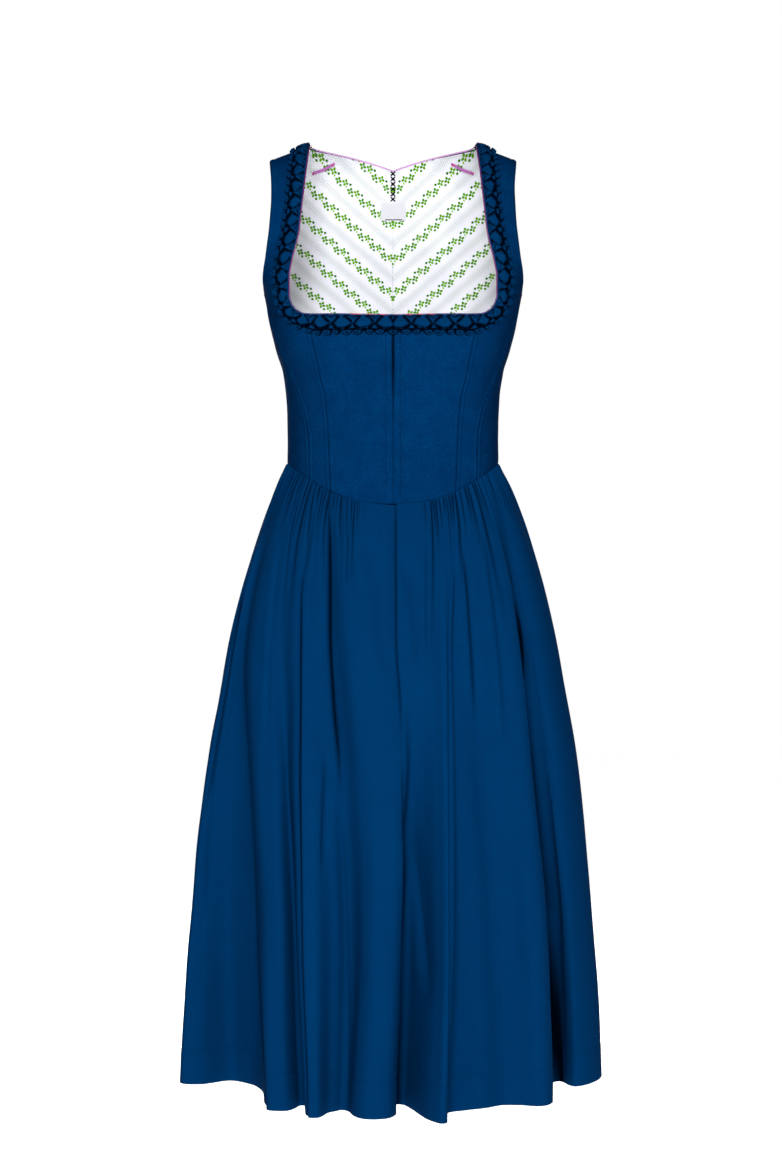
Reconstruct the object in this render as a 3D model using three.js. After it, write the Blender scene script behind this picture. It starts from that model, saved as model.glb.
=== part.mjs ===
// Sleeveless dirndl, filled out as if worn: bodice panels, lined back, ruched neck trim and gathered skirt.
// Millimetres. +Z is up, the front faces -Y, and the origin lies between the shoulders at their top.
import * as THREE from 'three';

// ---------------------------------------------------------------- cloth and seams
const SEAM_GAP = 0.3;
const BODICE_WALL = 1.6;
const LINING_WALL = 1.0;
const SKIRT_WALL = 1.2;
const HEM_WALL = 2.4;
const RIBBON_WALL = 0.7;
const PIPING_RADIUS = 1.3;
const PIPING_SIDES = 5;

// ---------------------------------------------------------------- heights and widths
const WAIST_HALF = 122.4;
const WAIST_SIDE_Z = -367;
const WAIST_FRONT_DIP = 50;
const WAIST_DIP_POWER = 2.2;
const WAIST_BACK_DIP = 5;
const HEM_Z = -1083;
const HEM_SIDE_RISE = 6;
const HEM_HALF = 243.5;
const HEM_DEPTH = 190;
const WAIST_DEPTH = 95;
const ARMHOLE_BASE_Z = -170;
const NECK_FRONT_Z = -207.5;
const NECK_CORNER_Z = -206;
const NECK_CORNER_X = 95;
const NECK_BACK_DROP = 0.237;
const NECK_BACK_POWER = 1.15;
const SHOULDER_TIP_X = 142.5;
const SHOULDER_SLOPE = 0.36;
const SHOULDER_ROUND = 2.5;
const SIDE_SEAM_DEG = 95;
const DEG = Math.PI / 180;
const STEP = 1e-3;

// Level sections of the bodice. Above the armhole they are those of the shoulders, wider than the cloth.
const BODICE_SECTIONS = [
  { z: -420, half: 122.4, front: 95, back: 95, round: 2.2 },
  { z: -367, half: 122.4, front: 95, back: 95, round: 2.2 },
  { z: -335, half: 121.9, front: 97, back: 95.5, round: 2.25 },
  { z: -300, half: 123, front: 101, back: 97, round: 2.3 },
  { z: -262, half: 127.5, front: 108, back: 99.5, round: 2.4 },
  { z: -235, half: 136, front: 113.5, back: 102, round: 2.5 },
  { z: -200, half: 144, front: 117, back: 104, round: 2.55 },
  { z: -170, half: 149.2, front: 116.5, back: 105, round: 2.55 },
  { z: -160, half: 153, front: 115.5, back: 105, round: 2.52 },
  { z: -134, half: 166, front: 112, back: 105, round: 2.5 },
  { z: -100, half: 176, front: 108, back: 105, round: 2.5 },
  { z: 40, half: 182, front: 108, back: 105, round: 2.5 },
];

// Inner edge of the front side panel: princess seam up to the neck corner, then the neckline.
const INNER_SEAM = [
  { z: -420, x: 70 },
  { z: -399, x: 71 },
  { z: -336, x: 73.5 },
  { z: -298, x: 76.6 },
  { z: -273, x: 82.5 },
  { z: -236, x: 90 },
  { z: -212, x: 95 },
  { z: -206, x: 95.5 },
  { z: -203, x: 101 },
  { z: -199, x: 109 },
  { z: -193, x: 113.5 },
  { z: -181, x: 117 },
  { z: -170, x: 117.3 },
  { z: -158, x: 117 },
  { z: -141.5, x: 113.5 },
  { z: -113, x: 106 },
  { z: -56, x: 100 },
  { z: -34, x: 98.2 },
  { z: 0, x: 95 },
];

// Outer edge of the front side panel: second princess seam up to the armhole.
const OUTER_SEAM = [
  { z: -400, x: 95.5 },
  { z: -388, x: 95.7 },
  { z: -346, x: 96 },
  { z: -314, x: 100.6 },
  { z: -284, x: 111.2 },
  { z: -251, x: 122.8 },
  { z: -220, x: 135 },
  { z: -190, x: 143.8 },
  { z: -170, x: 148.8 },
];

const ARMHOLE_EDGE = [
  { z: -170, x: 148.8 },
  { z: -160, x: 149.6 },
  { z: -134.6, x: 145 },
  { z: -101, x: 140.3 },
  { z: -62, x: 138.3 },
  { z: -17, x: 142.5 },
];

// Ruched trim, station by station from the shoulder to the centre front.
const TRIM_STATIONS = [
  { neckX: 95, neckZ: 0, outX: 116, outZ: -7.6 },
  { neckX: 98.2, neckZ: -34, outX: 118.8, outZ: -36 },
  { neckX: 103, neckZ: -82, outX: 122.5, outZ: -83 },
  { neckX: 106.4, neckZ: -113, outX: 127, outZ: -113 },
  { neckX: 113.5, neckZ: -141.5, outX: 134, outZ: -144 },
  { neckX: 117, neckZ: -161, outX: 135.3, outZ: -161 },
  { neckX: 117, neckZ: -181, outX: 132.5, outZ: -184 },
  { neckX: 113.3, neckZ: -193.5, outX: 125.7, outZ: -202 },
  { neckX: 107.5, neckZ: -200, outX: 114, outZ: -214 },
  { neckX: 100, neckZ: -203.6, outX: 101.5, outZ: -221.5 },
  { neckX: 88, neckZ: -205, outX: 84, outZ: -227 },
  { neckX: 58, neckZ: -206, outX: 58, outZ: -227.6 },
  { neckX: 28, neckZ: -207, outX: 28, outZ: -227.8 },
  { neckX: 0.15, neckZ: -207.5, outX: 0.15, outZ: -228 },
];
const TRIM_REPEATS = 17.5;
const TRIM_COLUMNS_PER_REPEAT = 5;
const TRIM_ROWS = [0.02, 0.22, 0.47, 0.76, 1];
const TRIM_CREST = 0.47;
const TRIM_SEAT = 0.5;
const TRIM_EDGE_HEIGHT = 1.9;
const TRIM_PINCH_HEIGHT = 4.2;
const TRIM_LOOP_HEIGHT = 1.2;
const TRIM_SAMPLES = 1500;

// ---------------------------------------------------------------- skirt
// Growth from waist to hem, 0 to 1, against the share of the length that has been covered.
const SKIRT_FLARE = [
  { down: 0, grown: 0 },
  { down: 0.03, grown: 0.085 },
  { down: 0.087, grown: 0.22 },
  { down: 0.144, grown: 0.331 },
  { down: 0.21, grown: 0.447 },
  { down: 0.29, grown: 0.558 },
  { down: 0.36, grown: 0.635 },
  { down: 0.46, grown: 0.74 },
  { down: 0.57, grown: 0.818 },
  { down: 0.64, grown: 0.856 },
  { down: 0.735, grown: 0.905 },
  { down: 0.83, grown: 0.946 },
  { down: 0.95, grown: 0.988 },
  { down: 1, grown: 1 },
];

// The hem in plan: each ridge, flank and valley of the folds, from the left side round by the front.
const HEM_FOLDS = [
  { x: -241, y: -42, starts: 0.1 },
  { x: -221, y: -38, starts: 0.05 },
  { x: -187, y: -8, starts: 0.05 },
  { x: -165, y: -26, starts: 0.02 },
  { x: -153, y: -60, starts: 0.02 },
  { x: -146, y: -130, starts: 0.02 },
  { x: -137, y: -157, starts: 0.02 },
  { x: -117, y: -161, starts: 0.1 },
  { x: -101, y: -135, starts: 0.1 },
  { x: -96, y: -188, starts: 0.1 },
  { x: -82, y: -195, starts: 0.2 },
  { x: -69, y: -166, starts: 0.1 },
  { x: -57, y: -157, starts: 0.05 },
  { x: -44, y: -186, starts: 0.15 },
  { x: -29, y: -201, starts: 0.3 },
  { x: -10, y: -199, starts: 0.3 },
  { x: 2.5, y: -176, starts: 0.3 },
  { x: 6.5, y: -133, starts: 0.3 },
  { x: 19, y: -152, starts: 0.3 },
  { x: 39, y: -205, starts: 0.2 },
  { x: 52, y: -222, starts: 0.05 },
  { x: 59, y: -211, starts: 0.05 },
  { x: 63, y: -170, starts: 0.05 },
  { x: 84, y: -155, starts: 0.1 },
  { x: 118, y: -138, starts: 0.1 },
  { x: 140, y: -135, starts: 0.1 },
  { x: 161, y: -141, starts: 0.05 },
  { x: 174, y: -128, starts: 0.02 },
  { x: 180, y: -100, starts: 0.02 },
  { x: 184, y: -18, starts: 0.02 },
  { x: 197, y: -37, starts: 0.05 },
  { x: 208, y: -47, starts: 0.1 },
  { x: 226, y: -35, starts: 0.1 },
  { x: 241, y: -6, starts: 0.1 },
  { x: 239, y: 30, starts: 0.1 },
  { x: 199, y: 46, starts: 0.05 },
  { x: 182, y: 64, starts: 0.02 },
  { x: 214, y: 98, starts: 0.05 },
  { x: 205, y: 122, starts: 0.1 },
  { x: 168, y: 124, starts: 0.1 },
  { x: 136, y: 122, starts: 0.05 },
  { x: 141, y: 152, starts: 0.05 },
  { x: 129, y: 177, starts: 0.1 },
  { x: 101, y: 180, starts: 0.1 },
  { x: 67, y: 160, starts: 0.05 },
  { x: 46, y: 163, starts: 0.1 },
  { x: 30, y: 192, starts: 0.15 },
  { x: 0, y: 205, starts: 0.2 },
  { x: -26, y: 193, starts: 0.1 },
  { x: -41, y: 159, starts: 0.03 },
  { x: -63, y: 160, starts: 0.1 },
  { x: -98, y: 182, starts: 0.2 },
  { x: -126, y: 178, starts: 0.1 },
  { x: -134, y: 150, starts: 0.05 },
  { x: -131, y: 119, starts: 0.05 },
  { x: -156, y: 114, starts: 0.1 },
  { x: -198, y: 118, starts: 0.1 },
  { x: -219, y: 99, starts: 0.1 },
  { x: -202, y: 67, starts: 0.05 },
  { x: -188, y: 45, starts: 0.02 },
  { x: -228, y: 31, starts: 0.05 },
  { x: -242, y: 6, starts: 0.1 },
];

// How the leading folds wander, in degrees round the skirt from the centre front, at five depths.
const FOLD_DEPTHS = [0, 0.22, 0.46, 0.72, 1];
const FOLD_LINES = [
  { fold: 1, degrees: [-80, -81, -77, -78] },
  { fold: 3, degrees: [-74, -71, -61, -66] },
  { fold: 5, degrees: [-70, -66, -51, -43] },
  { fold: 9, degrees: [-44, -36, -29.6, -25.5] },
  { fold: 12, degrees: [-32, -23, -15.7, -13.5] },
  { fold: 16, degrees: [0.3, 1, 3.7, 2.8] },
  { fold: 21, degrees: [27, 20.7, 17.4, 15.4] },
  { fold: 24, degrees: [38, 30, 27.7, 29.7] },
  { fold: 27, degrees: [52, 52.5, 47.3, 48] },
  { fold: 29, degrees: [60, 60, 63, 73] },
  { fold: 33, degrees: [84, 86, 87, 87.5] },
  { fold: 36, degrees: [107, 109, 112, 114] },
  { fold: 40, degrees: [132, 134, 139, 138] },
  { fold: 44, degrees: [156, 158, 161, 162] },
  { fold: 49, degrees: [184, 187, 190, 192] },
  { fold: 54, degrees: [216, 217, 219, 222] },
  { fold: 59, degrees: [250, 251, 254, 254] },
];
// Each gore of the skirt runs between two folds; fold 61 is also fold -1.
const SKIRT_GORES = [
  { name: 'skirt_front_side_left', first: -1, last: 8, columns: 22 },
  { name: 'skirt_front_left', first: 8, last: 16, columns: 22 },
  { name: 'skirt_front_right', first: 16, last: 24, columns: 22 },
  { name: 'skirt_front_side_right', first: 24, last: 33, columns: 22 },
  { name: 'skirt_back_side_right', first: 33, last: 40, columns: 16 },
  { name: 'skirt_back_right', first: 40, last: 47, columns: 16 },
  { name: 'skirt_back_left', first: 47, last: 54, columns: 16 },
  { name: 'skirt_back_side_left', first: 54, last: 61, columns: 16 },
];
const FOLD_GROWTH = 0.85;
const SPREAD_GROWTH = 0.6;
const SKIRT_ROWS = [0, 0.014, 0.035, 0.075, 0.14, 0.24, 0.36, 0.5, 0.65, 0.8, 0.938, 0.946, 1];
const HEM_TOP = 0.945;
const GATHER_HEIGHT = 1.1;
const GATHER_FADE = 0.06;
const SMOOTH_FRONT_DEG = 15;
const SMOOTH_FRONT_BLEND_DEG = 8;

// ---------------------------------------------------------------- finishes
const BODICE_CLOTH = { color: 0x0b3f6e, roughness: 0.85 };
const SKIRT_CLOTH = { color: 0x083a6b, roughness: 0.8 };
const TRIM_CLOTH = { color: 0x0c4774, roughness: 0.8 };
const LINING_CLOTH = { color: 0xeceaf4, roughness: 0.9 };
const PIPING_CLOTH = { color: 0xa2477f, roughness: 0.7 };
const RIBBON_CLOTH = { color: 0xc9a6dc, roughness: 0.5 };
const LABEL_CLOTH = { color: 0xf4f4f6, roughness: 0.7 };

const dress = new THREE.Group();
const mix = THREE.MathUtils.lerp;

function addPiece(name, geometry, cloth) {
  const material = new THREE.MeshStandardMaterial({ ...cloth, metalness: 0 });
  const mesh = new THREE.Mesh(geometry, material);
  mesh.name = name;
  dress.add(mesh);
}

// ---------------------------------------------------------------- tables and curves
/** A smooth reading of one column of a table against another, with no overshoot between rows. */
function column(rows, key, value) {
  const at = rows.map((row) => row[key]);
  const out = rows.map((row) => row[value]);
  const slopes = out.slice(1).map((next, i) => (next - out[i]) / (at[i + 1] - at[i]));
  const tangents = out.map((_, i) => {
    const before = slopes[Math.max(i - 1, 0)];
    const after = slopes[Math.min(i, slopes.length - 1)];
    return before * after <= 0 ? 0 : (2 * before * after) / (before + after);
  });
  return (x) => {
    const clamped = THREE.MathUtils.clamp(x, at[0], at[at.length - 1]);
    const found = at.findIndex((value) => value >= clamped);
    const i = Math.max(found - 1, 0);
    const span = at[i + 1] - at[i];
    const t = (clamped - at[i]) / span;
    const rise = out[i + 1] - out[i];
    const curve = t * t * (3 - 2 * t);
    const start = t * (1 - t) * (1 - t) * span * tangents[i];
    const end = t * t * (t - 1) * span * tangents[i + 1];
    return out[i] + curve * rise + start + end;
  };
}

const bodiceHalf = column(BODICE_SECTIONS, 'z', 'half');
const bodiceFront = column(BODICE_SECTIONS, 'z', 'front');
const bodiceBack = column(BODICE_SECTIONS, 'z', 'back');
const bodiceRound = column(BODICE_SECTIONS, 'z', 'round');
const innerSeamX = column(INNER_SEAM, 'z', 'x');
const outerSeamX = column(OUTER_SEAM, 'z', 'x');
const armholeX = column(ARMHOLE_EDGE, 'z', 'x');
const skirtFlare = column(SKIRT_FLARE, 'down', 'grown');

/** A sine or cosine raised to a power with its sign kept. */
function signedPower(value, power) {
  return Math.sign(value) * Math.abs(value) ** power;
}

// ---------------------------------------------------------------- walls
/** Two triangles a cell between neighbouring rows of point numbers, split the same way on both sheets. */
function sheetFaces(grid, inward) {
  const faces = [];
  for (let row = 0; row + 1 < grid.length; row += 1) {
    for (let i = 0; i + 1 < grid[row].length; i += 1) {
      const [a, b, c, d] = [grid[row][i], grid[row][i + 1], grid[row + 1][i + 1], grid[row + 1][i]];
      const cell = inward ? [a, c, b, a, d, c] : [a, b, c, a, c, d];
      faces.push(...cell);
    }
  }
  return faces;
}

/** Triangles between two lines of point numbers that may differ in count. */
function stitchFaces(first, second) {
  const faces = [];
  let i = 0;
  let j = 0;
  while (i + 1 < first.length || j + 1 < second.length) {
    const nextFirst = (i + 1) / (first.length - 1);
    const nextSecond = (j + 1) / (second.length - 1);
    if (i + 1 < first.length && (j + 1 >= second.length || nextFirst <= nextSecond)) {
      faces.push(first[i], first[i + 1], second[j]);
      i += 1;
    } else {
      faces.push(first[i], second[j + 1], second[j]);
      j += 1;
    }
  }
  return faces;
}

function geometryOf(points, faces) {
  const geometry = new THREE.BufferGeometry();
  const positions = points.flatMap((point) => point.toArray());
  geometry.setAttribute('position', new THREE.Float32BufferAttribute(positions, 3));
  geometry.setIndex(faces);
  geometry.computeVertexNormals();
  return geometry;
}

/** A closed wall from its outer and inner sheets, each a list of rows that run round the body. */
function wallGeometry(outer, inner) {
  const points = [...outer.flat(), ...inner.flat()];
  const width = outer[0].length;
  const numbered = (rows, first) => rows.map((row, r) => row.map((_, i) => first + r * width + i));
  const outside = numbered(outer, 0);
  const inside = numbered(inner, outer.length * width);
  const last = width - 1;
  const faces = [
    ...sheetFaces(outside, false),
    ...sheetFaces(inside, true),
    ...stitchFaces(inside[0], outside[0]),
    ...stitchFaces(outside.at(-1), inside.at(-1)),
    ...stitchFaces(outside.map((row) => row[0]), inside.map((row) => row[0])),
    ...stitchFaces(inside.map((row) => row[last]), outside.map((row) => row[last])),
  ];
  return geometryOf(points, faces);
}

/** The outward direction of a surface that is read by two numbers. */
function normalOf(surface, u, v, uRange, vRange) {
  const [uLow, uHigh] = uRange;
  const [vLow, vHigh] = vRange;
  const uStep = STEP * (uHigh - uLow);
  const vStep = STEP * (vHigh - vLow);
  const along = surface(Math.min(u + uStep, uHigh), v).sub(surface(Math.max(u - uStep, uLow), v));
  const up = surface(u, Math.min(v + vStep, vHigh)).sub(surface(u, Math.max(v - vStep, vLow)));
  return along.cross(up).normalize();
}

/** Outer and inner points of a panel, its side edges drawn in by half a seam gap. */
function panelSheets(surface, columns, rows, outset, inset) {
  const uRange = [0, 1];
  const vRange = [rows[0], rows.at(-1)];
  const outer = [];
  const inner = [];
  for (const v of rows) {
    const width = surface(0, v).distanceTo(surface(1, v));
    const edge = SEAM_GAP / 2 / width;
    const outerRow = [];
    const innerRow = [];
    for (const share of columns) {
      const u = mix(edge, 1 - edge, share);
      const point = surface(u, v);
      const normal = normalOf(surface, u, v, uRange, vRange);
      outerRow.push(point.clone().addScaledVector(normal, outset));
      innerRow.push(point.clone().addScaledVector(normal, -inset));
    }
    outer.push(outerRow);
    inner.push(innerRow);
  }
  return [outer, inner];
}

/** A geometry's mirror image in the plane x = 0, its faces turned to point out again. */
function mirrored(geometry) {
  const image = geometry.clone().scale(-1, 1, 1);
  const index = image.getIndex();
  for (let i = 0; i < index.count; i += 3) {
    const second = index.getX(i + 1);
    index.setX(i + 1, index.getX(i + 2));
    index.setX(i + 2, second);
  }
  image.computeVertexNormals();
  return image;
}

/** A panel for the right side of the body and its mirror image for the left. */
function addPanelPair(name, cloth, sheets) {
  const geometry = wallGeometry(...sheets);
  addPiece(`${name}_right`, geometry, cloth);
  addPiece(`${name}_left`, mirrored(geometry), cloth);
}

// ---------------------------------------------------------------- bodice surface
function shoulderTop(x) {
  return (NECK_CORNER_X - Math.abs(x)) * SHOULDER_SLOPE;
}

function waistHeight(x, isBack) {
  const share = Math.min(Math.abs(x) / WAIST_HALF, 1);
  if (isBack) return WAIST_SIDE_Z - WAIST_BACK_DIP * (1 - share * share);
  return WAIST_SIDE_Z - WAIST_FRONT_DIP * (1 - share ** WAIST_DIP_POWER);
}

/** How far up the arch of the shoulder a point lies: 0 at the armhole base and 1 on the ridge. */
function shoulderShare(x, z) {
  const share = (z - ARMHOLE_BASE_Z) / (shoulderTop(x) - ARMHOLE_BASE_Z);
  return THREE.MathUtils.clamp(share, 0, 1);
}

function bodicePoint(x, z, isBack) {
  const round = bodiceRound(z);
  const depth = isBack ? bodiceBack(z) : bodiceFront(z);
  const across = Math.max(1 - (Math.abs(x) / bodiceHalf(z)) ** round, 0) ** (1 / round);
  const share = shoulderShare(x, z);
  const arch = (1 - share ** SHOULDER_ROUND) ** (1 / SHOULDER_ROUND);
  const away = depth * across * arch + (SEAM_GAP / 2) * share;
  return new THREE.Vector3(x, isBack ? away : -away, z);
}

const frontPoint = (x, z) => bodicePoint(x, z, false);
const backPoint = (x, z) => bodicePoint(x, z, true);

/** The waist height on a line of the panel, found by reading the line's x again at each height. */
function waistOn(xAt, isBack) {
  let z = WAIST_SIDE_Z;
  for (let turn = 0; turn < 8; turn += 1) z = waistHeight(xAt(z), isBack);
  return z;
}

// v runs from 0 at the waist to 1 level with the neck corner, 2 at the armhole base and 3 on the shoulder.
const BODY_ROWS = [0, 0.17, 0.35, 0.53, 0.7, 0.86, 1];
const UNDERARM_ROWS = [1.36, 1.69, 2];
const NECK_CORNER_ROWS = [1.08, 1.19];
const STRAP_ROWS = [2.01, 2.03, 2.07, 2.14, 2.28, 2.44, 2.6, 2.76, 2.9, 3];
const SIDE_ROWS = [...BODY_ROWS, ...UNDERARM_ROWS];
const FRONT_SIDE_ROWS = [...BODY_ROWS, ...NECK_CORNER_ROWS, ...UNDERARM_ROWS, ...STRAP_ROWS];
const BACK_ROWS = [...SIDE_ROWS, ...STRAP_ROWS];

/** Even shares from 0 to 1. */
const evenly = (count) => Array.from({ length: count + 1 }, (_, i) => i / count);

// The back has a column on the shoulder's neck corner, where its neckline begins.
const CENTRE_COLUMNS = evenly(5);
const SIDE_COLUMNS = evenly(4);
const NECK_CORNER_SHARE = 0.5662;
const BACK_NECK_COLUMNS = evenly(5).map((share) => mix(NECK_CORNER_SHARE, 1, share));
const BACK_COLUMNS_ACROSS = [0, 0.19, 0.38, ...BACK_NECK_COLUMNS];

/** Height of a row below the armhole base, on a line of the panel that starts at a waist height. */
function rowHeight(v, bottom) {
  if (v <= 1) return mix(bottom, NECK_CORNER_Z, v);
  return mix(NECK_CORNER_Z, ARMHOLE_BASE_Z, v - 1);
}

/** The share of the shoulder's arch for an even step along its curve. */
function archShare(step) {
  return Math.sin((step * Math.PI) / 2) ** (2 / SHOULDER_ROUND);
}

function frontCentreSurface(u, v) {
  const xAt = (z) => u * innerSeamX(z);
  const top = mix(NECK_FRONT_Z, NECK_CORNER_Z, u * u);
  const z = mix(waistOn(xAt, false), top, v);
  return frontPoint(xAt(z), z);
}

function frontSideSurface(u, v) {
  if (v <= 2) {
    const xAt = (z) => mix(innerSeamX(z), outerSeamX(z), u);
    const z = rowHeight(v, waistOn(xAt, false));
    return frontPoint(xAt(z), z);
  }
  const share = archShare(v - 2);
  const innerX = innerSeamX(mix(ARMHOLE_BASE_Z, 0, share));
  const outerX = armholeX(mix(ARMHOLE_BASE_Z, shoulderTop(SHOULDER_TIP_X), share));
  const x = mix(innerX, outerX, u);
  return frontPoint(x, mix(ARMHOLE_BASE_Z, shoulderTop(x), share));
}

function sidePanelSurface(u, v) {
  const angleAt = (z) => {
    const share = Math.min(outerSeamX(z) / bodiceHalf(z), 1);
    return mix(Math.asin(share ** (bodiceRound(z) / 2)), SIDE_SEAM_DEG * DEG, u);
  };
  const xAt = (z) => bodiceHalf(z) * Math.sin(angleAt(z)) ** (2 / bodiceRound(z));
  const z = rowHeight(v, waistOn(xAt, Math.cos(angleAt(WAIST_SIDE_Z)) < 0));
  const cosine = Math.cos(angleAt(z));
  const depth = cosine > 0 ? bodiceFront(z) : bodiceBack(z);
  return new THREE.Vector3(xAt(z), -depth * signedPower(cosine, 2 / bodiceRound(z)), z);
}

/** How far up the shoulder's arch the back neckline cuts, for each place across the back. */
function backNeckShare(x) {
  const inward = Math.max(1 - Math.abs(x) / NECK_CORNER_X, 0);
  return 1 - NECK_BACK_DROP * inward ** NECK_BACK_POWER;
}

/** u runs from 0 at the side seam or armhole to 1 at the centre back. */
function backSurface(u, v) {
  const sweep = (180 - SIDE_SEAM_DEG) * DEG;
  const sideShare = (z) => Math.sin(sweep) ** (2 / bodiceRound(z));
  const across = (z) => (Math.sin(sweep * (1 - u)) / Math.sin(sweep)) ** (2 / bodiceRound(z));
  if (v <= 2) {
    const xAt = (z) => bodiceHalf(z) * sideShare(z) * across(z);
    const z = rowHeight(v, waistOn(xAt, true));
    return backPoint(xAt(z), z);
  }
  const topShare = backNeckShare(SHOULDER_TIP_X * across(0));
  const topStep = Math.asin(topShare ** (SHOULDER_ROUND / 2)) / (Math.PI / 2);
  const share = archShare((v - 2) * topStep);
  const x = armholeX(mix(ARMHOLE_BASE_Z, shoulderTop(SHOULDER_TIP_X), share)) * across(0);
  return backPoint(x, mix(ARMHOLE_BASE_Z, shoulderTop(x), share));
}

const LINING_OUTSET = -(BODICE_WALL + SEAM_GAP);
const LINING_INSET = BODICE_WALL + SEAM_GAP + LINING_WALL;

function addBodice() {
  const wall = (surface, columns, rows) => panelSheets(surface, columns, rows, 0, BODICE_WALL);
  addPanelPair('front_centre', BODICE_CLOTH, wall(frontCentreSurface, CENTRE_COLUMNS, BODY_ROWS));
  addPanelPair('front_side', BODICE_CLOTH, wall(frontSideSurface, SIDE_COLUMNS, FRONT_SIDE_ROWS));
  addPanelPair('side', BODICE_CLOTH, wall(sidePanelSurface, SIDE_COLUMNS, SIDE_ROWS));
  addPanelPair('back', BODICE_CLOTH, wall(backSurface, BACK_COLUMNS_ACROSS, BACK_ROWS));
  const columns = BACK_COLUMNS_ACROSS;
  const lining = panelSheets(backSurface, columns, BACK_ROWS, LINING_OUTSET, LINING_INSET);
  addPanelPair('back_lining', LINING_CLOTH, lining);
}

// ---------------------------------------------------------------- ruched neck trim
/** A point across the trim at a station number, which may fall between stations. */
function trimAt(station, across) {
  const read = (key) => trimColumns[key](station);
  const x = mix(read('neckX'), read('outX'), across);
  const z = mix(read('neckZ'), read('outZ'), across);
  return frontPoint(x, Math.min(z, shoulderTop(x)));
}

const numberedStations = TRIM_STATIONS.map((row, station) => ({ ...row, station }));
const trimColumns = Object.fromEntries(
  ['neckX', 'neckZ', 'outX', 'outZ'].map((key) => [key, column(numberedStations, 'station', key)]),
);

/** Station numbers at even lengths along the middle of the trim, closest together at the ridge. */
function evenStations(samples) {
  const last = TRIM_STATIONS.length - 1;
  const rows = [];
  let length = 0;
  let before = trimAt(0, 0.5);
  for (let i = 0; i <= samples; i += 1) {
    const station = last * (i / samples) ** 3;
    const point = trimAt(station, 0.5);
    length += point.distanceTo(before);
    before = point;
    rows.push({ length: i === 0 ? 0 : length, station });
  }
  return rows;
}

const stationRows = evenStations(TRIM_SAMPLES);
const trimLength = stationRows.at(-1).length;
const stationAtLength = column(stationRows, 'length', 'station');

/** Height of the ruching: pinched crests at mid width, open mouths between, loops at the outer edge. */
function ruchedHeight(repeat, across) {
  const rise = across < TRIM_CREST ? across / TRIM_CREST : (1 - across) / (1 - TRIM_CREST);
  const pinch = 0.3 + 0.7 * Math.sin(Math.PI * repeat) ** 2;
  const loops = Math.cos(4 * Math.PI * repeat) * Math.max(across - 0.6, 0);
  return TRIM_EDGE_HEIGHT + TRIM_PINCH_HEIGHT * rise * pinch + TRIM_LOOP_HEIGHT * loops;
}

function trimSurface(u, v) {
  return trimAt(stationAtLength(u * trimLength), v);
}

function addTrim() {
  const columns = Math.round(TRIM_REPEATS * TRIM_COLUMNS_PER_REPEAT);
  const sheet = (acrossRows, heightAt) => acrossRows.map((across) => {
    const row = [];
    for (let i = 0; i <= columns; i += 1) {
      const u = i / columns;
      const normal = normalOf(trimSurface, u, across, [0, 1], [0, 1]);
      const height = TRIM_SEAT + heightAt(u * TRIM_REPEATS, across);
      row.push(trimSurface(u, across).addScaledVector(normal, height));
    }
    return row;
  });
  const outer = sheet(TRIM_ROWS, ruchedHeight);
  const inner = sheet([TRIM_ROWS[0], 0.5, 1], () => 0);
  addPanelPair('trim', TRIM_CLOTH, [outer, inner]);
}

// ---------------------------------------------------------------- neck piping
/** The neck edge of the right half, on the panels' own corners, from the centre front to the back. */
function neckEdge() {
  const centre = CENTRE_COLUMNS.map((u) => frontCentreSurface(u, 1));
  const strap = FRONT_SIDE_ROWS.filter((v) => v > 1).map((v) => frontSideSurface(0, v));
  const back = BACK_NECK_COLUMNS.slice(1).map((u) => backSurface(u, BACK_ROWS.at(-1)));
  return [
    ...[...centre, ...strap].map((point) => ({ point, side: frontPoint })),
    ...back.map((point) => ({ point, side: backPoint })),
  ];
}

/** The direction out of the cloth at a point of the neck edge. */
function clothNormal({ point, side }) {
  const { x, z } = point;
  const across = side(x + 0.5, z - 0.5).sub(side(x - 0.5, z - 0.5));
  const up = side(x, z - 0.2).sub(side(x, z - 0.8));
  const normal = across.cross(up).normalize();
  return side === backPoint ? normal.negate() : normal;
}

/** A closed tube with rings set square to its path. */
function tubeGeometry(centres, radius, sides) {
  const points = [];
  const faces = [];
  const rings = centres.length;
  centres.forEach(({ centre, normal, off }) => {
    for (let i = 0; i < sides; i += 1) {
      const turn = (2 * Math.PI * i) / sides;
      const spoke = normal.clone().multiplyScalar(Math.cos(turn) * radius);
      spoke.addScaledVector(off, Math.sin(turn) * radius);
      points.push(spoke.add(centre));
    }
  });
  for (let ring = 0; ring + 1 < rings; ring += 1) {
    for (let i = 0; i < sides; i += 1) {
      const next = (i + 1) % sides;
      const here = ring * sides;
      const there = here + sides;
      faces.push(here + i, there + next, here + next, here + i, there + i, there + next);
    }
  }
  const end = (rings - 1) * sides;
  for (let i = 1; i + 1 < sides; i += 1) {
    faces.push(0, i, i + 1, end, end + i + 1, end + i);
  }
  return geometryOf(points, faces);
}

function addPiping() {
  const half = neckEdge().map((edge) => ({ point: edge.point, normal: clothNormal(edge) }));
  const other = half.slice(0, -1).reverse().map(({ point, normal }) => ({
    point: new THREE.Vector3(-point.x, point.y, point.z),
    normal: new THREE.Vector3(-normal.x, normal.y, normal.z),
  }));
  const edge = [...half, ...other];
  const centres = edge.map(({ point, normal }, i) => {
    const before = edge[Math.max(i - 1, 0)].point;
    const after = edge[Math.min(i + 1, edge.length - 1)].point;
    const along = after.clone().sub(before).normalize();
    const off = normal.clone().cross(along).normalize();
    const centre = point.clone().addScaledVector(off, PIPING_RADIUS + SEAM_GAP);
    centre.addScaledVector(normal, -BODICE_WALL / 2);
    return { centre, normal: along.clone().cross(off).normalize(), off };
  });
  addPiece('neck_piping', tubeGeometry(centres, PIPING_RADIUS, PIPING_SIDES), PIPING_CLOTH);
}

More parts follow.
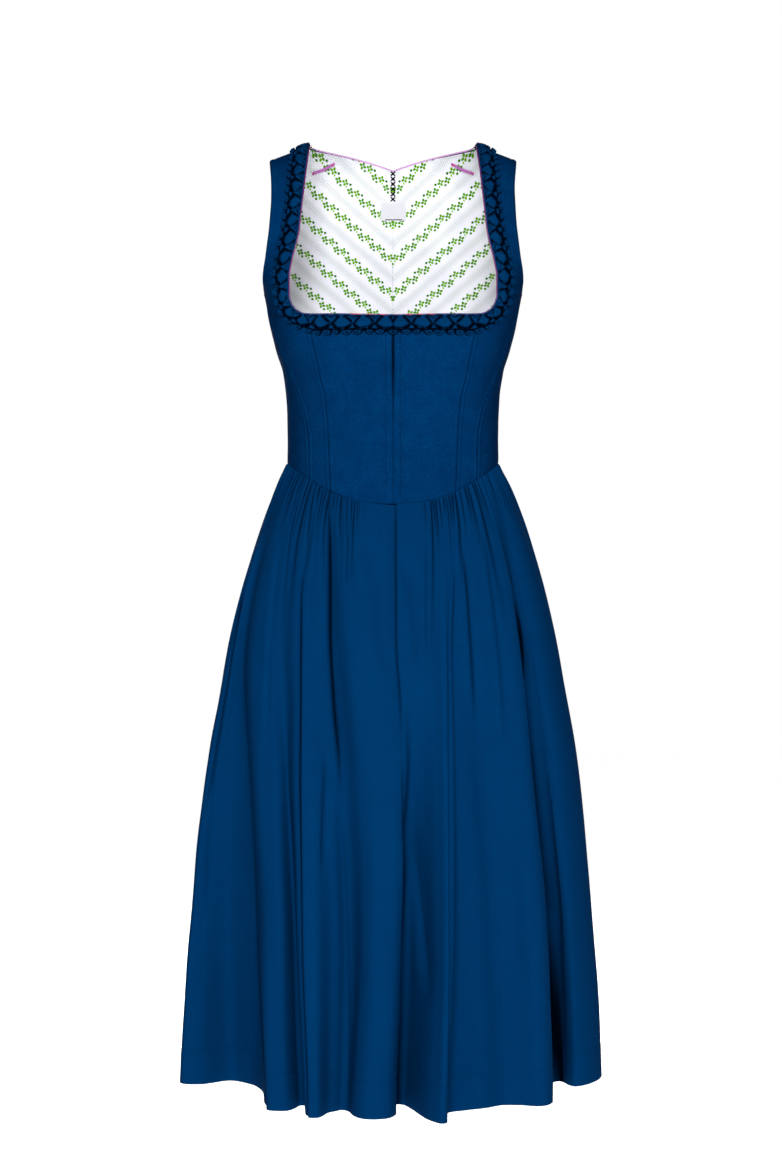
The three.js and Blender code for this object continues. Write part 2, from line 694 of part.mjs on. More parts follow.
// ---------------------------------------------------------------- label and strap keepers
const LABEL_SIZE = { left: -14.5, right: 15.5, low: -70, high: -49.5 };
const KEEPER_ENDS = { outerX: 90, outerZ: -17, innerX: 71, innerZ: -8, width: 3.6 };
const LABEL_SEAT = LINING_INSET + 0.4;
const KEEPER_SEAT = LINING_INSET + 0.9;

/** A small patch on the inside of the back lining, its seat clear of the lining's flat facets. */
function insidePatch(pointAt, columns, rows, seat) {
  const surface = (u, v) => {
    const { x, z } = pointAt(u, v);
    return backPoint(x, z);
  };
  return panelSheets(surface, evenly(columns), evenly(rows), -seat, seat + RIBBON_WALL);
}

function addSmallPieces() {
  const label = insidePatch((u, v) => ({
    x: mix(LABEL_SIZE.right, LABEL_SIZE.left, u),
    z: mix(LABEL_SIZE.low, LABEL_SIZE.high, v),
  }), 4, 3, LABEL_SEAT);
  addPiece('label', wallGeometry(...label), LABEL_CLOTH);
  const keeper = insidePatch((u, v) => ({
    x: mix(KEEPER_ENDS.outerX, KEEPER_ENDS.innerX, u),
    z: mix(KEEPER_ENDS.outerZ, KEEPER_ENDS.innerZ, u) + KEEPER_ENDS.width * v,
  }), 6, 1, KEEPER_SEAT);
  addPanelPair('strap_keeper', RIBBON_CLOTH, keeper);
}

// ---------------------------------------------------------------- skirt
const foldCount = HEM_FOLDS.length;

/** Each fold's bearing from the centre front and its distance past the plain hem oval. */
const hemFolds = [];
HEM_FOLDS.forEach(({ x, y, starts }) => {
  const across = x / HEM_HALF;
  const ahead = -y / HEM_DEPTH;
  const raw = Math.atan2(across, ahead) / DEG;
  const last = hemFolds.at(-1)?.bearing ?? raw;
  const bearing = raw + 360 * Math.round((last - raw) / 360);
  hemFolds.push({ bearing, out: Math.hypot(across, ahead) - 1, starts });
});

/** The leading folds round the whole ring, with the first and last repeated a turn away. */
const leaders = FOLD_LINES.map(({ fold, degrees }) => ({
  fold,
  degrees: [...degrees, hemFolds[fold].bearing],
}));
const turned = (leader, turns) => ({
  fold: leader.fold + turns * foldCount,
  degrees: leader.degrees.map((value) => value + 360 * turns),
});
const ringLeaders = [turned(leaders.at(-1), -1), ...leaders, turned(leaders[0], 1)];

function leaderDegrees(leader, down) {
  const rows = FOLD_DEPTHS.map((depth, i) => ({ depth, value: leader.degrees[i] }));
  return column(rows, 'depth', 'value')(down);
}

/** Bearing of a fold at a share of the skirt's length. */
function foldBearing(fold, down) {
  const next = ringLeaders.findIndex((leader) => leader.fold > fold);
  const before = ringLeaders[next - 1];
  const after = ringLeaders[next];
  const share = (fold - before.fold) / (after.fold - before.fold);
  const here = mix(leaderDegrees(before, down), leaderDegrees(after, down), share);
  const atHem = mix(before.degrees.at(-1), after.degrees.at(-1), share);
  return here + (hemFolds[fold].bearing - atHem) * down ** SPREAD_GROWTH;
}

/** A point of the plain oval that the folds are set out from. */
function skirtOval(bearing, down, out) {
  const grown = skirtFlare(down);
  const half = mix(WAIST_HALF, HEM_HALF, grown);
  const depth = mix(WAIST_DEPTH, HEM_DEPTH, grown);
  const power = 2 / mix(bodiceRound(WAIST_SIDE_Z), 2, Math.min(down * 4, 1));
  const x = half * (1 + out) * signedPower(Math.sin(bearing * DEG), power);
  const y = -depth * (1 + out) * signedPower(Math.cos(bearing * DEG), power);
  return new THREE.Vector3(x, y, 0);
}

const ringCache = new Map();

/** The skirt's closed outline in plan at a share of its length. */
function skirtRing(down) {
  if (!ringCache.has(down)) {
    const points = hemFolds.map(({ out, starts }, fold) => {
      const grown = Math.max((down - starts) / (1 - starts), 0) ** FOLD_GROWTH;
      return skirtOval(foldBearing(fold, down), down, out * grown);
    });
    ringCache.set(down, new THREE.CatmullRomCurve3(points, true, 'centripetal'));
  }
  return ringCache.get(down);
}

function ringPoint(fold, down) {
  const turn = (((fold / foldCount) % 1) + 1) % 1;
  return skirtRing(down).getPoint(turn);
}

/** A point of the skirt: a fold number, which may fall between folds, and a share of the length. */
function skirtPoint(fold, down) {
  const point = ringPoint(fold, down);
  const waist = ringPoint(fold, 0);
  const top = waistHeight(waist.x, waist.y > 0) - SEAM_GAP;
  const side = (Math.abs(point.x) / HEM_HALF) ** 4;
  const bottom = HEM_Z + HEM_SIDE_RISE * Math.min(side, 1);
  point.z = mix(top, bottom, down);
  return point;
}

/** Fold numbers of a panel's columns, spaced by the cloth's length at waist and hem together. */
function columnFolds(first, last, columns) {
  const samples = 600;
  const rows = [{ length: 0, fold: first }];
  let length = 0;
  for (let i = 1; i <= samples; i += 1) {
    const before = mix(first, last, (i - 1) / samples);
    const fold = mix(first, last, i / samples);
    const waist = ringPoint(fold, 0).distanceTo(ringPoint(before, 0));
    const hem = ringPoint(fold, 1).distanceTo(ringPoint(before, 1));
    length += 2 * waist + hem;
    rows.push({ length, fold });
  }
  const foldAt = column(rows, 'length', 'fold');
  return Array.from({ length: columns + 1 }, (_, i) => foldAt((length * i) / columns));
}

/** Height of a waist gather: strongest at the seam, none across the smooth centre front. */
function gatherHeight(columnNumber, fold, down) {
  const waist = ringPoint(fold, 0);
  const bearing = Math.abs(Math.atan2(waist.x, -waist.y)) / DEG;
  const past = (bearing - SMOOTH_FRONT_DEG) / SMOOTH_FRONT_BLEND_DEG;
  const strength = THREE.MathUtils.clamp(past, 0, 1);
  const fade = Math.exp(-((down / GATHER_FADE) ** 2));
  return GATHER_HEIGHT * strength * fade * (columnNumber % 2 === 0 ? 1 : -1);
}

function addGore({ name, first, last, columns }) {
  const folds = columnFolds(first, last, columns);
  const range = [first - 1, last + 1];
  const outer = [];
  const inner = [];
  for (const down of SKIRT_ROWS) {
    const wall = down >= HEM_TOP ? HEM_WALL : SKIRT_WALL;
    const outerRow = [];
    const innerRow = [];
    folds.forEach((fold, i) => {
      const point = skirtPoint(fold, down);
      const beyond = skirtPoint(fold + STEP, down).sub(skirtPoint(fold - STEP, down)).normalize();
      const normal = normalOf(skirtPoint, fold, down, range, [0, 1]).negate();
      const edge = (i === 0 ? SEAM_GAP / 2 : 0) - (i === columns ? SEAM_GAP / 2 : 0);
      point.addScaledVector(beyond, edge);
      const gather = gatherHeight(i, fold, down);
      outerRow.push(point.clone().addScaledVector(normal, gather));
      innerRow.push(point.clone().addScaledVector(normal, gather - wall));
    });
    outer.unshift(outerRow);
    inner.unshift(innerRow);
  }
  addPiece(name, wallGeometry(outer, inner), SKIRT_CLOTH);
}

addBodice();
addTrim();
addPiping();
addSmallPieces();
SKIRT_GORES.forEach(addGore);

export default dress;
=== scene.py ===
"""Looks of a sleeveless dirndl: panelled bodice, printed back lining, ruched neck trim and gathered skirt.

Sizes are in millimetres until a mesh is made, and the frame is the part's own: +Z up, the front faces -Y,
the origin between the shoulders.
"""

import logging
import math
from dataclasses import dataclass, field
from enum import Enum
from typing import Any, Callable, Sequence

import bmesh
import bpy
import numpy as np
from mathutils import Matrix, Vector


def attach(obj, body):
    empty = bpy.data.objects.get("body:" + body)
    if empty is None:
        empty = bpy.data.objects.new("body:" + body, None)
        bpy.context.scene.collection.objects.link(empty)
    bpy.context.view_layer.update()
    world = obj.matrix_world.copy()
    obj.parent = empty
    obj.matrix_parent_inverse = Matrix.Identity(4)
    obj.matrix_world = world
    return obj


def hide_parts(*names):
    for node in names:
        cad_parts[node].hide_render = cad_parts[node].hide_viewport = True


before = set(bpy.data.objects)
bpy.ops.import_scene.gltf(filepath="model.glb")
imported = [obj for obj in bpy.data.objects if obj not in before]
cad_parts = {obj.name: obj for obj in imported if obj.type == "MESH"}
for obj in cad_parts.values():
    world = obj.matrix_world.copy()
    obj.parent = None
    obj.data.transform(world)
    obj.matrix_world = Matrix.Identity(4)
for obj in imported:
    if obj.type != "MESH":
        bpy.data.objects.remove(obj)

LOG = logging.getLogger("dirndl")
MM = 0.001
BODY = "root"
DEGREE = math.pi / 180
SEAM_GAP = 0.3  # between the solids
SEAM_SHOWN = 0.04  # between the drawn panels
MATTE_IOR = 1.03
FIBRE_SCALE = 1500.0
SIDES = (("right", False), ("left", True))
Array = np.ndarray
Surface = Callable[[Array, Array], Array]
Piece = bpy.types.Object
Material = bpy.types.Material
Shade = tuple[float, float, float]


# ------------------------------------------------------------------ tables and noise
class Column:
    """A smooth, monotone reading of one table column against another."""

    def __init__(self, at: Sequence[float], out: Sequence[float]) -> None:
        """Keep the rows and the slopes between them.

        Args:
            at: rising positions of the rows.
            out: values at those rows.
        """
        self.at = np.asarray(at, float)
        self.out = np.asarray(out, float)
        slopes = np.diff(self.out) / np.diff(self.at)
        before = np.concatenate([slopes[:1], slopes])
        after = np.concatenate([slopes, slopes[-1:]])
        total = before + after
        safe = np.where(np.abs(total) < 1e-12, 1.0, total)
        self.tangents = np.where(before * after > 0, 2 * before * after / safe, 0.0)

    def __call__(self, value: Any) -> Array:
        """Return the column's value at one position or many."""
        x = np.clip(np.asarray(value, float), self.at[0], self.at[-1])
        i = np.clip(np.searchsorted(self.at, x, side="left") - 1, 0, len(self.at) - 2)
        span = self.at[i + 1] - self.at[i]
        t = (x - self.at[i]) / span
        rise = self.out[i + 1] - self.out[i]
        start = t * (1 - t) ** 2 * span * self.tangents[i]
        end = t * t * (t - 1) * span * self.tangents[i + 1]
        return self.out[i] + t * t * (3 - 2 * t) * rise + start + end


def mix(low: Any, high: Any, share: Any) -> Any:
    """Return the value a share of the way from low to high."""
    return low + (high - low) * share


def signed_power(value: Array, power: Any) -> Array:
    """Return a number's power with its own sign kept."""
    return np.sign(value) * np.abs(value) ** power


def smooth_share(value: Array, low: float, high: float) -> Array:
    """Return 0 below low and 1 above high, eased between."""
    t = np.clip((value - low) / (high - low), 0, 1)
    return t * t * (3 - 2 * t)


def bell(distance: Array, width: Any) -> Array:
    """Return a soft bump of height one and a given half width."""
    return np.exp(-((distance / width) ** 2))


def soft_noise(seed: int, across: Array, along: Array, waves: int = 7) -> Array:
    """Return slow, uneven waves between about -1 and 1.

    Args:
        seed: which set of waves.
        across: first coordinate, in wave lengths.
        along: second coordinate, in wave lengths.
        waves: how many waves are summed.

    Returns:
        The sum of the waves at each point.
    """
    draw = np.random.default_rng(seed)
    total = np.zeros(np.broadcast(across, along).shape)
    for _ in range(waves):
        turn = draw.uniform(0, math.pi)
        speed = draw.uniform(0.6, 1.7)
        phase = draw.uniform(0, 2 * math.pi)
        total += np.sin(2 * math.pi * speed * (across * math.cos(turn) + along * math.sin(turn)) + phase)
    return total / waves * 1.6


# ------------------------------------------------------------------ forms
@dataclass
class BodiceForm:
    """The bodice's surface, from its level sections, seams and neckline."""

    waist_half: float = 122.4
    waist_side_z: float = -367.0
    waist_front_dip: float = 50.0
    waist_dip_power: float = 2.2
    waist_back_dip: float = 5.0
    armhole_z: float = -170.0
    neck_front_z: float = -207.5
    neck_corner_z: float = -206.0
    neck_corner_x: float = 95.0
    neck_back_drop: float = 0.237
    neck_back_power: float = 1.15
    shoulder_tip_x: float = 142.5
    shoulder_slope: float = 0.36
    shoulder_round: float = 2.5
    side_seam_deg: float = 95.0
    levels: tuple[float, ...] = (-420, -367, -335, -300, -262, -235, -200, -170, -160, -134, -100, 40)
    halves: tuple[float, ...] = (122.4, 122.4, 121.9, 123, 127.5, 136, 144, 149.2, 153, 166, 176, 182)
    fronts: tuple[float, ...] = (95, 95, 97, 101, 108, 113.5, 117, 116.5, 115.5, 112, 108, 108)
    backs: tuple[float, ...] = (95, 95, 95.5, 97, 99.5, 102, 104, 105, 105, 105, 105, 105)
    rounds: tuple[float, ...] = (2.2, 2.2, 2.25, 2.3, 2.4, 2.5, 2.55, 2.55, 2.52, 2.5, 2.5, 2.5)
    inner_seam: tuple[tuple[float, float], ...] = (
        (-420, 70), (-399, 71), (-336, 73.5), (-298, 76.6), (-273, 82.5), (-236, 90), (-212, 95),
        (-206, 95.5), (-203, 101), (-199, 109), (-193, 113.5), (-181, 117), (-170, 117.3), (-158, 117),
        (-141.5, 113.5), (-113, 106), (-56, 100), (-34, 98.2), (0, 95))
    outer_seam: tuple[tuple[float, float], ...] = (
        (-400, 95.5), (-388, 95.7), (-346, 96), (-314, 100.6), (-284, 111.2), (-251, 122.8),
        (-220, 135), (-190, 143.8), (-170, 148.8))
    armhole: tuple[tuple[float, float], ...] = (
        (-170, 148.8), (-160, 149.6), (-134.6, 145), (-101, 140.3), (-62, 138.3), (-17, 142.5))

    def __post_init__(self) -> None:
        """Turn the tables into smooth readings."""
        self.half = Column(self.levels, self.halves)
        self.front = Column(self.levels, self.fronts)
        self.rear = Column(self.levels, self.backs)
        self.round = Column(self.levels, self.rounds)
        self.inner_x = Column(*zip(*self.inner_seam))
        self.outer_x = Column(*zip(*self.outer_seam))
        self.armhole_x = Column(*zip(*self.armhole))

    def shoulder_top(self, x: Array) -> Array:
        """Return the height of the shoulder's ridge over x."""
        return (self.neck_corner_x - np.abs(x)) * self.shoulder_slope

    def waist(self, x: Array, back: Any) -> Array:
        """Return the height of the waist seam over x, in front or at the back."""
        share = np.minimum(np.abs(x) / self.waist_half, 1)
        rear = self.waist_side_z - self.waist_back_dip * (1 - share * share)
        ahead = self.waist_side_z - self.waist_front_dip * (1 - share ** self.waist_dip_power)
        return np.where(back, rear, ahead)

    def point(self, x: Array, z: Array, back: bool) -> Array:
        """Return points of the front or back surface over x and z."""
        x, z = np.broadcast_arrays(np.asarray(x, float), np.asarray(z, float))
        rounding = self.round(z)
        depth = self.rear(z) if back else self.front(z)
        across = np.maximum(1 - (np.abs(x) / self.half(z)) ** rounding, 0) ** (1 / rounding)
        share = np.clip((z - self.armhole_z) / (self.shoulder_top(x) - self.armhole_z), 0, 1)
        arch = np.maximum(1 - share ** self.shoulder_round, 0) ** (1 / self.shoulder_round)
        away = depth * across * arch + SEAM_GAP / 2 * share
        return np.stack([x, away if back else -away, z], axis=-1)

    def waist_on(self, x_at: Callable[[Array], Array], like: Array, back: Any) -> Array:
        """Return the waist height on each line of a panel."""
        z = np.full(like.shape, self.waist_side_z)
        for _ in range(8):
            z = self.waist(x_at(z), back)
        return z

    def row_height(self, v: Array, bottom: Array) -> Array:
        """Return the height of a row from the waist, v 0, by the neck corner, 1, to the armhole, 2."""
        low = mix(bottom, self.neck_corner_z, np.minimum(v, 1))
        return np.where(v <= 1, low, mix(self.neck_corner_z, self.armhole_z, np.clip(v - 1, 0, 1)))

    def arch_share(self, step: Array) -> Array:
        """Return the share of the shoulder's arch for an even step along its curve."""
        return np.sin(np.clip(step, 0, 1) * math.pi / 2) ** (2 / self.shoulder_round)

    def front_centre(self, u: Array, v: Array) -> Array:
        """Return points of the centre front panel; v runs from the waist, 0, to the neckline, 1."""
        top = mix(self.neck_front_z, self.neck_corner_z, u * u)
        z = mix(self.waist_on(lambda h: u * self.inner_x(h), u, False), top, v)
        return self.point(u * self.inner_x(z), z, False)

    def front_side(self, u: Array, v: Array) -> Array:
        """Return points of the panel between the princess seams and its strap; v runs to 3."""
        def x_at(z: Array) -> Array:
            """Return the panel's x at each height."""
            return mix(self.inner_x(z), self.outer_x(z), u)

        low_z = self.row_height(v, self.waist_on(x_at, u, False))
        share = self.arch_share(v - 2)
        tip = self.shoulder_top(self.shoulder_tip_x)
        strap_x = mix(self.inner_x(mix(self.armhole_z, 0, share)),
                      self.armhole_x(mix(self.armhole_z, tip, share)), u)
        strap_z = mix(self.armhole_z, self.shoulder_top(strap_x), share)
        low = v <= 2
        return self.point(np.where(low, x_at(low_z), strap_x), np.where(low, low_z, strap_z), False)

    def side(self, u: Array, v: Array) -> Array:
        """Return points of the underarm panel; v runs from the waist, 0, to the armhole, 2."""
        def angle_at(z: Array) -> Array:
            """Return the bearing round the body at each height."""
            share = np.minimum(self.outer_x(z) / self.half(z), 1)
            return mix(np.arcsin(share ** (self.round(z) / 2)), self.side_seam_deg * DEGREE, u)

        def x_at(z: Array) -> Array:
            """Return the panel's x at each height."""
            return self.half(z) * np.sin(angle_at(z)) ** (2 / self.round(z))

        behind = np.cos(angle_at(np.full(u.shape, self.waist_side_z))) < 0
        z = self.row_height(v, self.waist_on(x_at, u, behind))
        cosine = np.cos(angle_at(z))
        depth = np.where(cosine > 0, self.front(z), self.rear(z))
        return np.stack([x_at(z), -depth * signed_power(cosine, 2 / self.round(z)), z], axis=-1)

    def neck_share(self, x: Array) -> Array:
        """Return how far up the shoulder's arch the back neckline cuts over x."""
        inward = np.maximum(1 - np.abs(x) / self.neck_corner_x, 0)
        return 1 - self.neck_back_drop * inward ** self.neck_back_power

    def back(self, u: Array, v: Array) -> Array:
        """Return points of the back panel; u runs from the side seam, 0, to the centre back, 1."""
        sweep = (180 - self.side_seam_deg) * DEGREE
        spread = np.sin(sweep * (1 - u)) / math.sin(sweep)

        def x_at(z: Array) -> Array:
            """Return the panel's x at each height."""
            return self.half(z) * (math.sin(sweep) * spread) ** (2 / self.round(z))

        low_z = self.row_height(v, self.waist_on(x_at, u, True))
        across = spread ** (2 / self.shoulder_round)
        top = self.neck_share(self.shoulder_tip_x * across)
        top_step = np.arcsin(np.clip(top ** (self.shoulder_round / 2), 0, 1)) / (math.pi / 2)
        share = self.arch_share((v - 2) * top_step)
        tip = self.shoulder_top(self.shoulder_tip_x)
        high_x = self.armhole_x(mix(self.armhole_z, tip, share)) * across
        high_z = mix(self.armhole_z, self.shoulder_top(high_x), share)
        low = v <= 2
        return self.point(np.where(low, x_at(low_z), high_x), np.where(low, low_z, high_z), True)


@dataclass
class TrimForm:
    """The ruched strip's path along the neckline, and the relief and painted shade of its repeats."""

    bodice: BodiceForm
    neck_x: tuple[float, ...] = (95, 98.2, 103, 106.4, 113.5, 117, 117, 113.3, 107.5, 100, 88, 58, 28, 0.15)
    neck_z: tuple[float, ...] = (0, -34, -82, -113, -141.5, -161, -181, -193.5, -200, -203.6, -205, -206,
                                 -207, -207.5)
    out_x: tuple[float, ...] = (116, 118.8, 122.5, 127, 134, 135.3, 132.5, 125.7, 114, 101.5, 84, 58,
                                28, 0.15)
    out_z: tuple[float, ...] = (-7.6, -36, -83, -113, -144, -161, -184, -202, -214, -221.5, -227, -227.6,
                                -227.8, -228)
    repeats: float = 17.3
    stretch: float = 0.13
    samples: int = 4000
    lumps: float = 0.33
    meeting: float = 0.46

    def __post_init__(self) -> None:
        """Measure the strip, so that its repeats are evenly long."""
        stations = np.arange(len(self.neck_x))
        self.read = [Column(stations, row) for row in (self.neck_x, self.neck_z, self.out_x, self.out_z)]
        at = (len(self.neck_x) - 1) * (np.arange(self.samples + 1) / self.samples) ** 3
        middle = self.at_station(at, np.full(at.shape, 0.5))
        steps = np.linalg.norm(np.diff(middle, axis=0), axis=-1)
        lengths = np.concatenate([[0], np.cumsum(steps)])
        self.length = float(lengths[-1])
        self.lengths, self.stations = lengths, at

    def at_station(self, station: Array, across: Array) -> Array:
        """Return points at a station number and a share of the strip's width."""
        neck_x, neck_z, out_x, out_z = (column(station) for column in self.read)
        x = mix(neck_x, out_x, across)
        z = np.minimum(mix(neck_z, out_z, across), self.bodice.shoulder_top(x))
        return self.bodice.point(x, z, False)

    def surface(self, u: Array, v: Array) -> Array:
        """Return points of the strip's seat; u runs from the shoulder to the centre front."""
        return self.at_station(np.interp(u * self.length, self.lengths, self.stations), v)

    def repeat_at(self, u: Array, w: Array) -> Array:
        """Return the number of repeats from the shoulder, uneven, and longer towards the centre front."""
        even = self.repeats * (u - self.stretch * u * u) / (1 - self.stretch)
        return even + 0.07 * soft_noise(3, u * 19, w * 1.3)

    def relief(self, u: Array, w: Array) -> tuple[Array, Array]:
        """Return the height over the seat and how deep in a crease each point lies.

        Args:
            u: share of the strip's length from the shoulder.
            w: share of its width from the neck edge.

        Returns:
            Height in millimetres and a painted shade mask from 0 to 1, for its creases, holes and outer
            edge.
        """
        repeat = self.repeat_at(u, w)
        across = (repeat - np.floor(repeat) - 0.5) * 2
        w = w + 0.05 * soft_noise(5, u * 23, w * 0.5) * bell(w - 0.45, 0.3)
        low_edge = smooth_share(w, 0.72, 0.78)
        cells, lines = self._cells(across, w)
        loops, holes = self._loops(repeat, w)
        body = mix(cells, loops, low_edge)
        # Painted shade in the cells' creases, the loops' holes, between the loops and where the rows meet;
        # the mask also sinks them as grooves.
        dark = lines + 0.95 * holes * low_edge
        dark += 0.7 * bell(w - 0.745, 0.022)
        dark = np.clip(dark * (1 + 0.35 * soft_noise(13, u * 40, w * 2)), 0, 1)
        height = body - 2.6 * dark + self.lumps * soft_noise(9, u * 60, w * 3)
        edges = smooth_share(w, 0, 0.05) * (1 - 0.5 * smooth_share(w, 0.96, 1.0))
        # Painted shade along the strip's outer edge.
        edge_shadow = 0.8 * smooth_share(w, 0.93, 0.99)
        return np.maximum(mix(1.2, height, edges), 0.5), np.maximum(dark, edge_shadow)

    def _cells(self, across: Array, w: Array) -> tuple[Array, Array]:
        """Return the pinched cells: funnels that open from where they meet, and mouths between them.

        Args:
            across: place in a repeat, from -1 to 1.
            w: share of the strip's width from the neck edge.

        Returns:
            Height in millimetres and the painted shade in the cells' creases, lips, pleats and arcs.
        """
        phase = np.abs(across)
        past = w - self.meeting
        edge = np.maximum(np.where(past < 0, 0.88 - 1.75 * w, 0.08 + 1.75 * past), 0.06)
        inside = phase / edge
        funnel = 4.3 - 1.9 * np.clip(inside, 0, 1) ** 2 + 2.0 * bell(past, 0.13)
        lens = np.sqrt(((1 - phase) / 0.8) ** 2 + ((w - 0.43) / 0.25) ** 2)
        mouth = 3.6 - 1.6 * np.clip(lens, 0, 1) ** 2
        height = np.where(inside < 1, funnel, mouth) + 0.35 * np.cos(9 * across) * bell(w - 0.2, 0.2)
        inner = smooth_share(w, 0.03, 0.1) * (1 - smooth_share(w, 0.7, 0.76))
        # Painted shade, also sunk as grooves: the funnels' creases, the mouths' lips, the pleats and the
        # arcs.
        crease = 1.15 * bell(phase - edge, 0.15) * inner
        lip = bell(lens - 1, 0.19) * (phase > 0.3) * (w > 0.3) * (w < 0.74)
        pleats = 0.75 * bell(phase - 0.3, 0.07) * bell(w - 0.66, 0.08)
        arcs = 0.95 * bell(w - 0.14 + 0.07 * np.abs(np.sin(math.pi * across)), 0.032) * (phase < 0.84)
        return height, crease + 0.9 * lip + pleats + arcs

    def _loops(self, repeat: Array, w: Array) -> tuple[Array, Array]:
        """Return the small loops' height along the outer edge, two a repeat, and painted shade in their
        holes and between them.
        """
        loop = np.sqrt((((repeat * 2) % 1 - 0.5) / 0.44) ** 2 + ((w - 0.87) / 0.13) ** 2)
        return 2.1 + 1.6 * bell(loop - 0.55, 0.25), bell(loop, 0.3) + smooth_share(loop, 0.62, 0.85)

    def scallop(self, u: Array, w: Array) -> Array:
        """Return how far the edges swell or draw in across the strip, as a share of its width."""
        repeat = self.repeat_at(u, w)
        swell = np.abs(np.sin(2 * math.pi * repeat))
        outer = 0.22 * (swell ** 0.8 - 0.72) + 0.03 * soft_noise(11, u * 31, w)
        neck = 0.02 - 0.035 * swell
        return mix(neck, outer, smooth_share(w, 0.55, 1.0))


@dataclass(frozen=True)
class Crease:
    """A trough that runs down the skirt, steep on one side and easy on the other, with painted shade along
    it.

    Attributes:
        track: x and z down its line, as seen from straight ahead at the stated distance.
        depth: how deep it is; a ridge is negative.
        wide: width of its easy side.
        steep: width of its steep side.
        turn: 1 where the easy side lies at higher x, -1 at lower x.
        shade: how dark the painted shade along its line is.
        back: whether it lies on the back.
        line: how much wider its painted shade line is than a fine one.
    """

    track: tuple[tuple[float, float], ...]
    depth: float
    wide: float
    steep: float = 3.0
    turn: int = 1
    shade: float = 0.0
    back: bool = False
    line: float = 0.0

    def read(self, points: Array, eye_z: float, eye_away: float) -> tuple[Array, Array]:
        """Return how far each point is pushed in, and the painted shade along its line and over its easy
        side.
        """
        toward = points[..., 1] if self.back else -points[..., 1]
        grown = eye_away / (eye_away - np.abs(toward))
        x, z = points[..., 0] * grown, (points[..., 2] - eye_z) * grown + eye_z
        heights = [spot[1] for spot in self.track[::-1]]
        path = Column(heights, [spot[0] for spot in self.track[::-1]])
        run = (heights[-1] - z) / (heights[-1] - heights[0])
        leaves = 1.0 if heights[0] < -1040 else 1 - smooth_share(run, 0.72, 1.0)
        fade = smooth_share(run, 0, 0.28) * leaves * (toward > 0)
        away = (x - path(z)) * self.turn
        easy = np.exp(-(np.abs(away) / self.wide) ** 1.6)
        trough = np.where(away > 0, easy, bell(away, self.steep))
        ridge = 0.3 * bell(away + self.steep + 0.6 * self.wide, 0.6 * self.wide)
        # Painted shade: a dark line at the trough and a softer painted shade over its easy side.
        line = bell(away - 0.3 - self.line / 2, 1.3 + 0.04 * self.wide + self.line)
        soft = 0.4 * easy * (away > 0)
        return self.depth * (trough - ridge) * fade, self.shade * np.maximum(line, soft) * fade


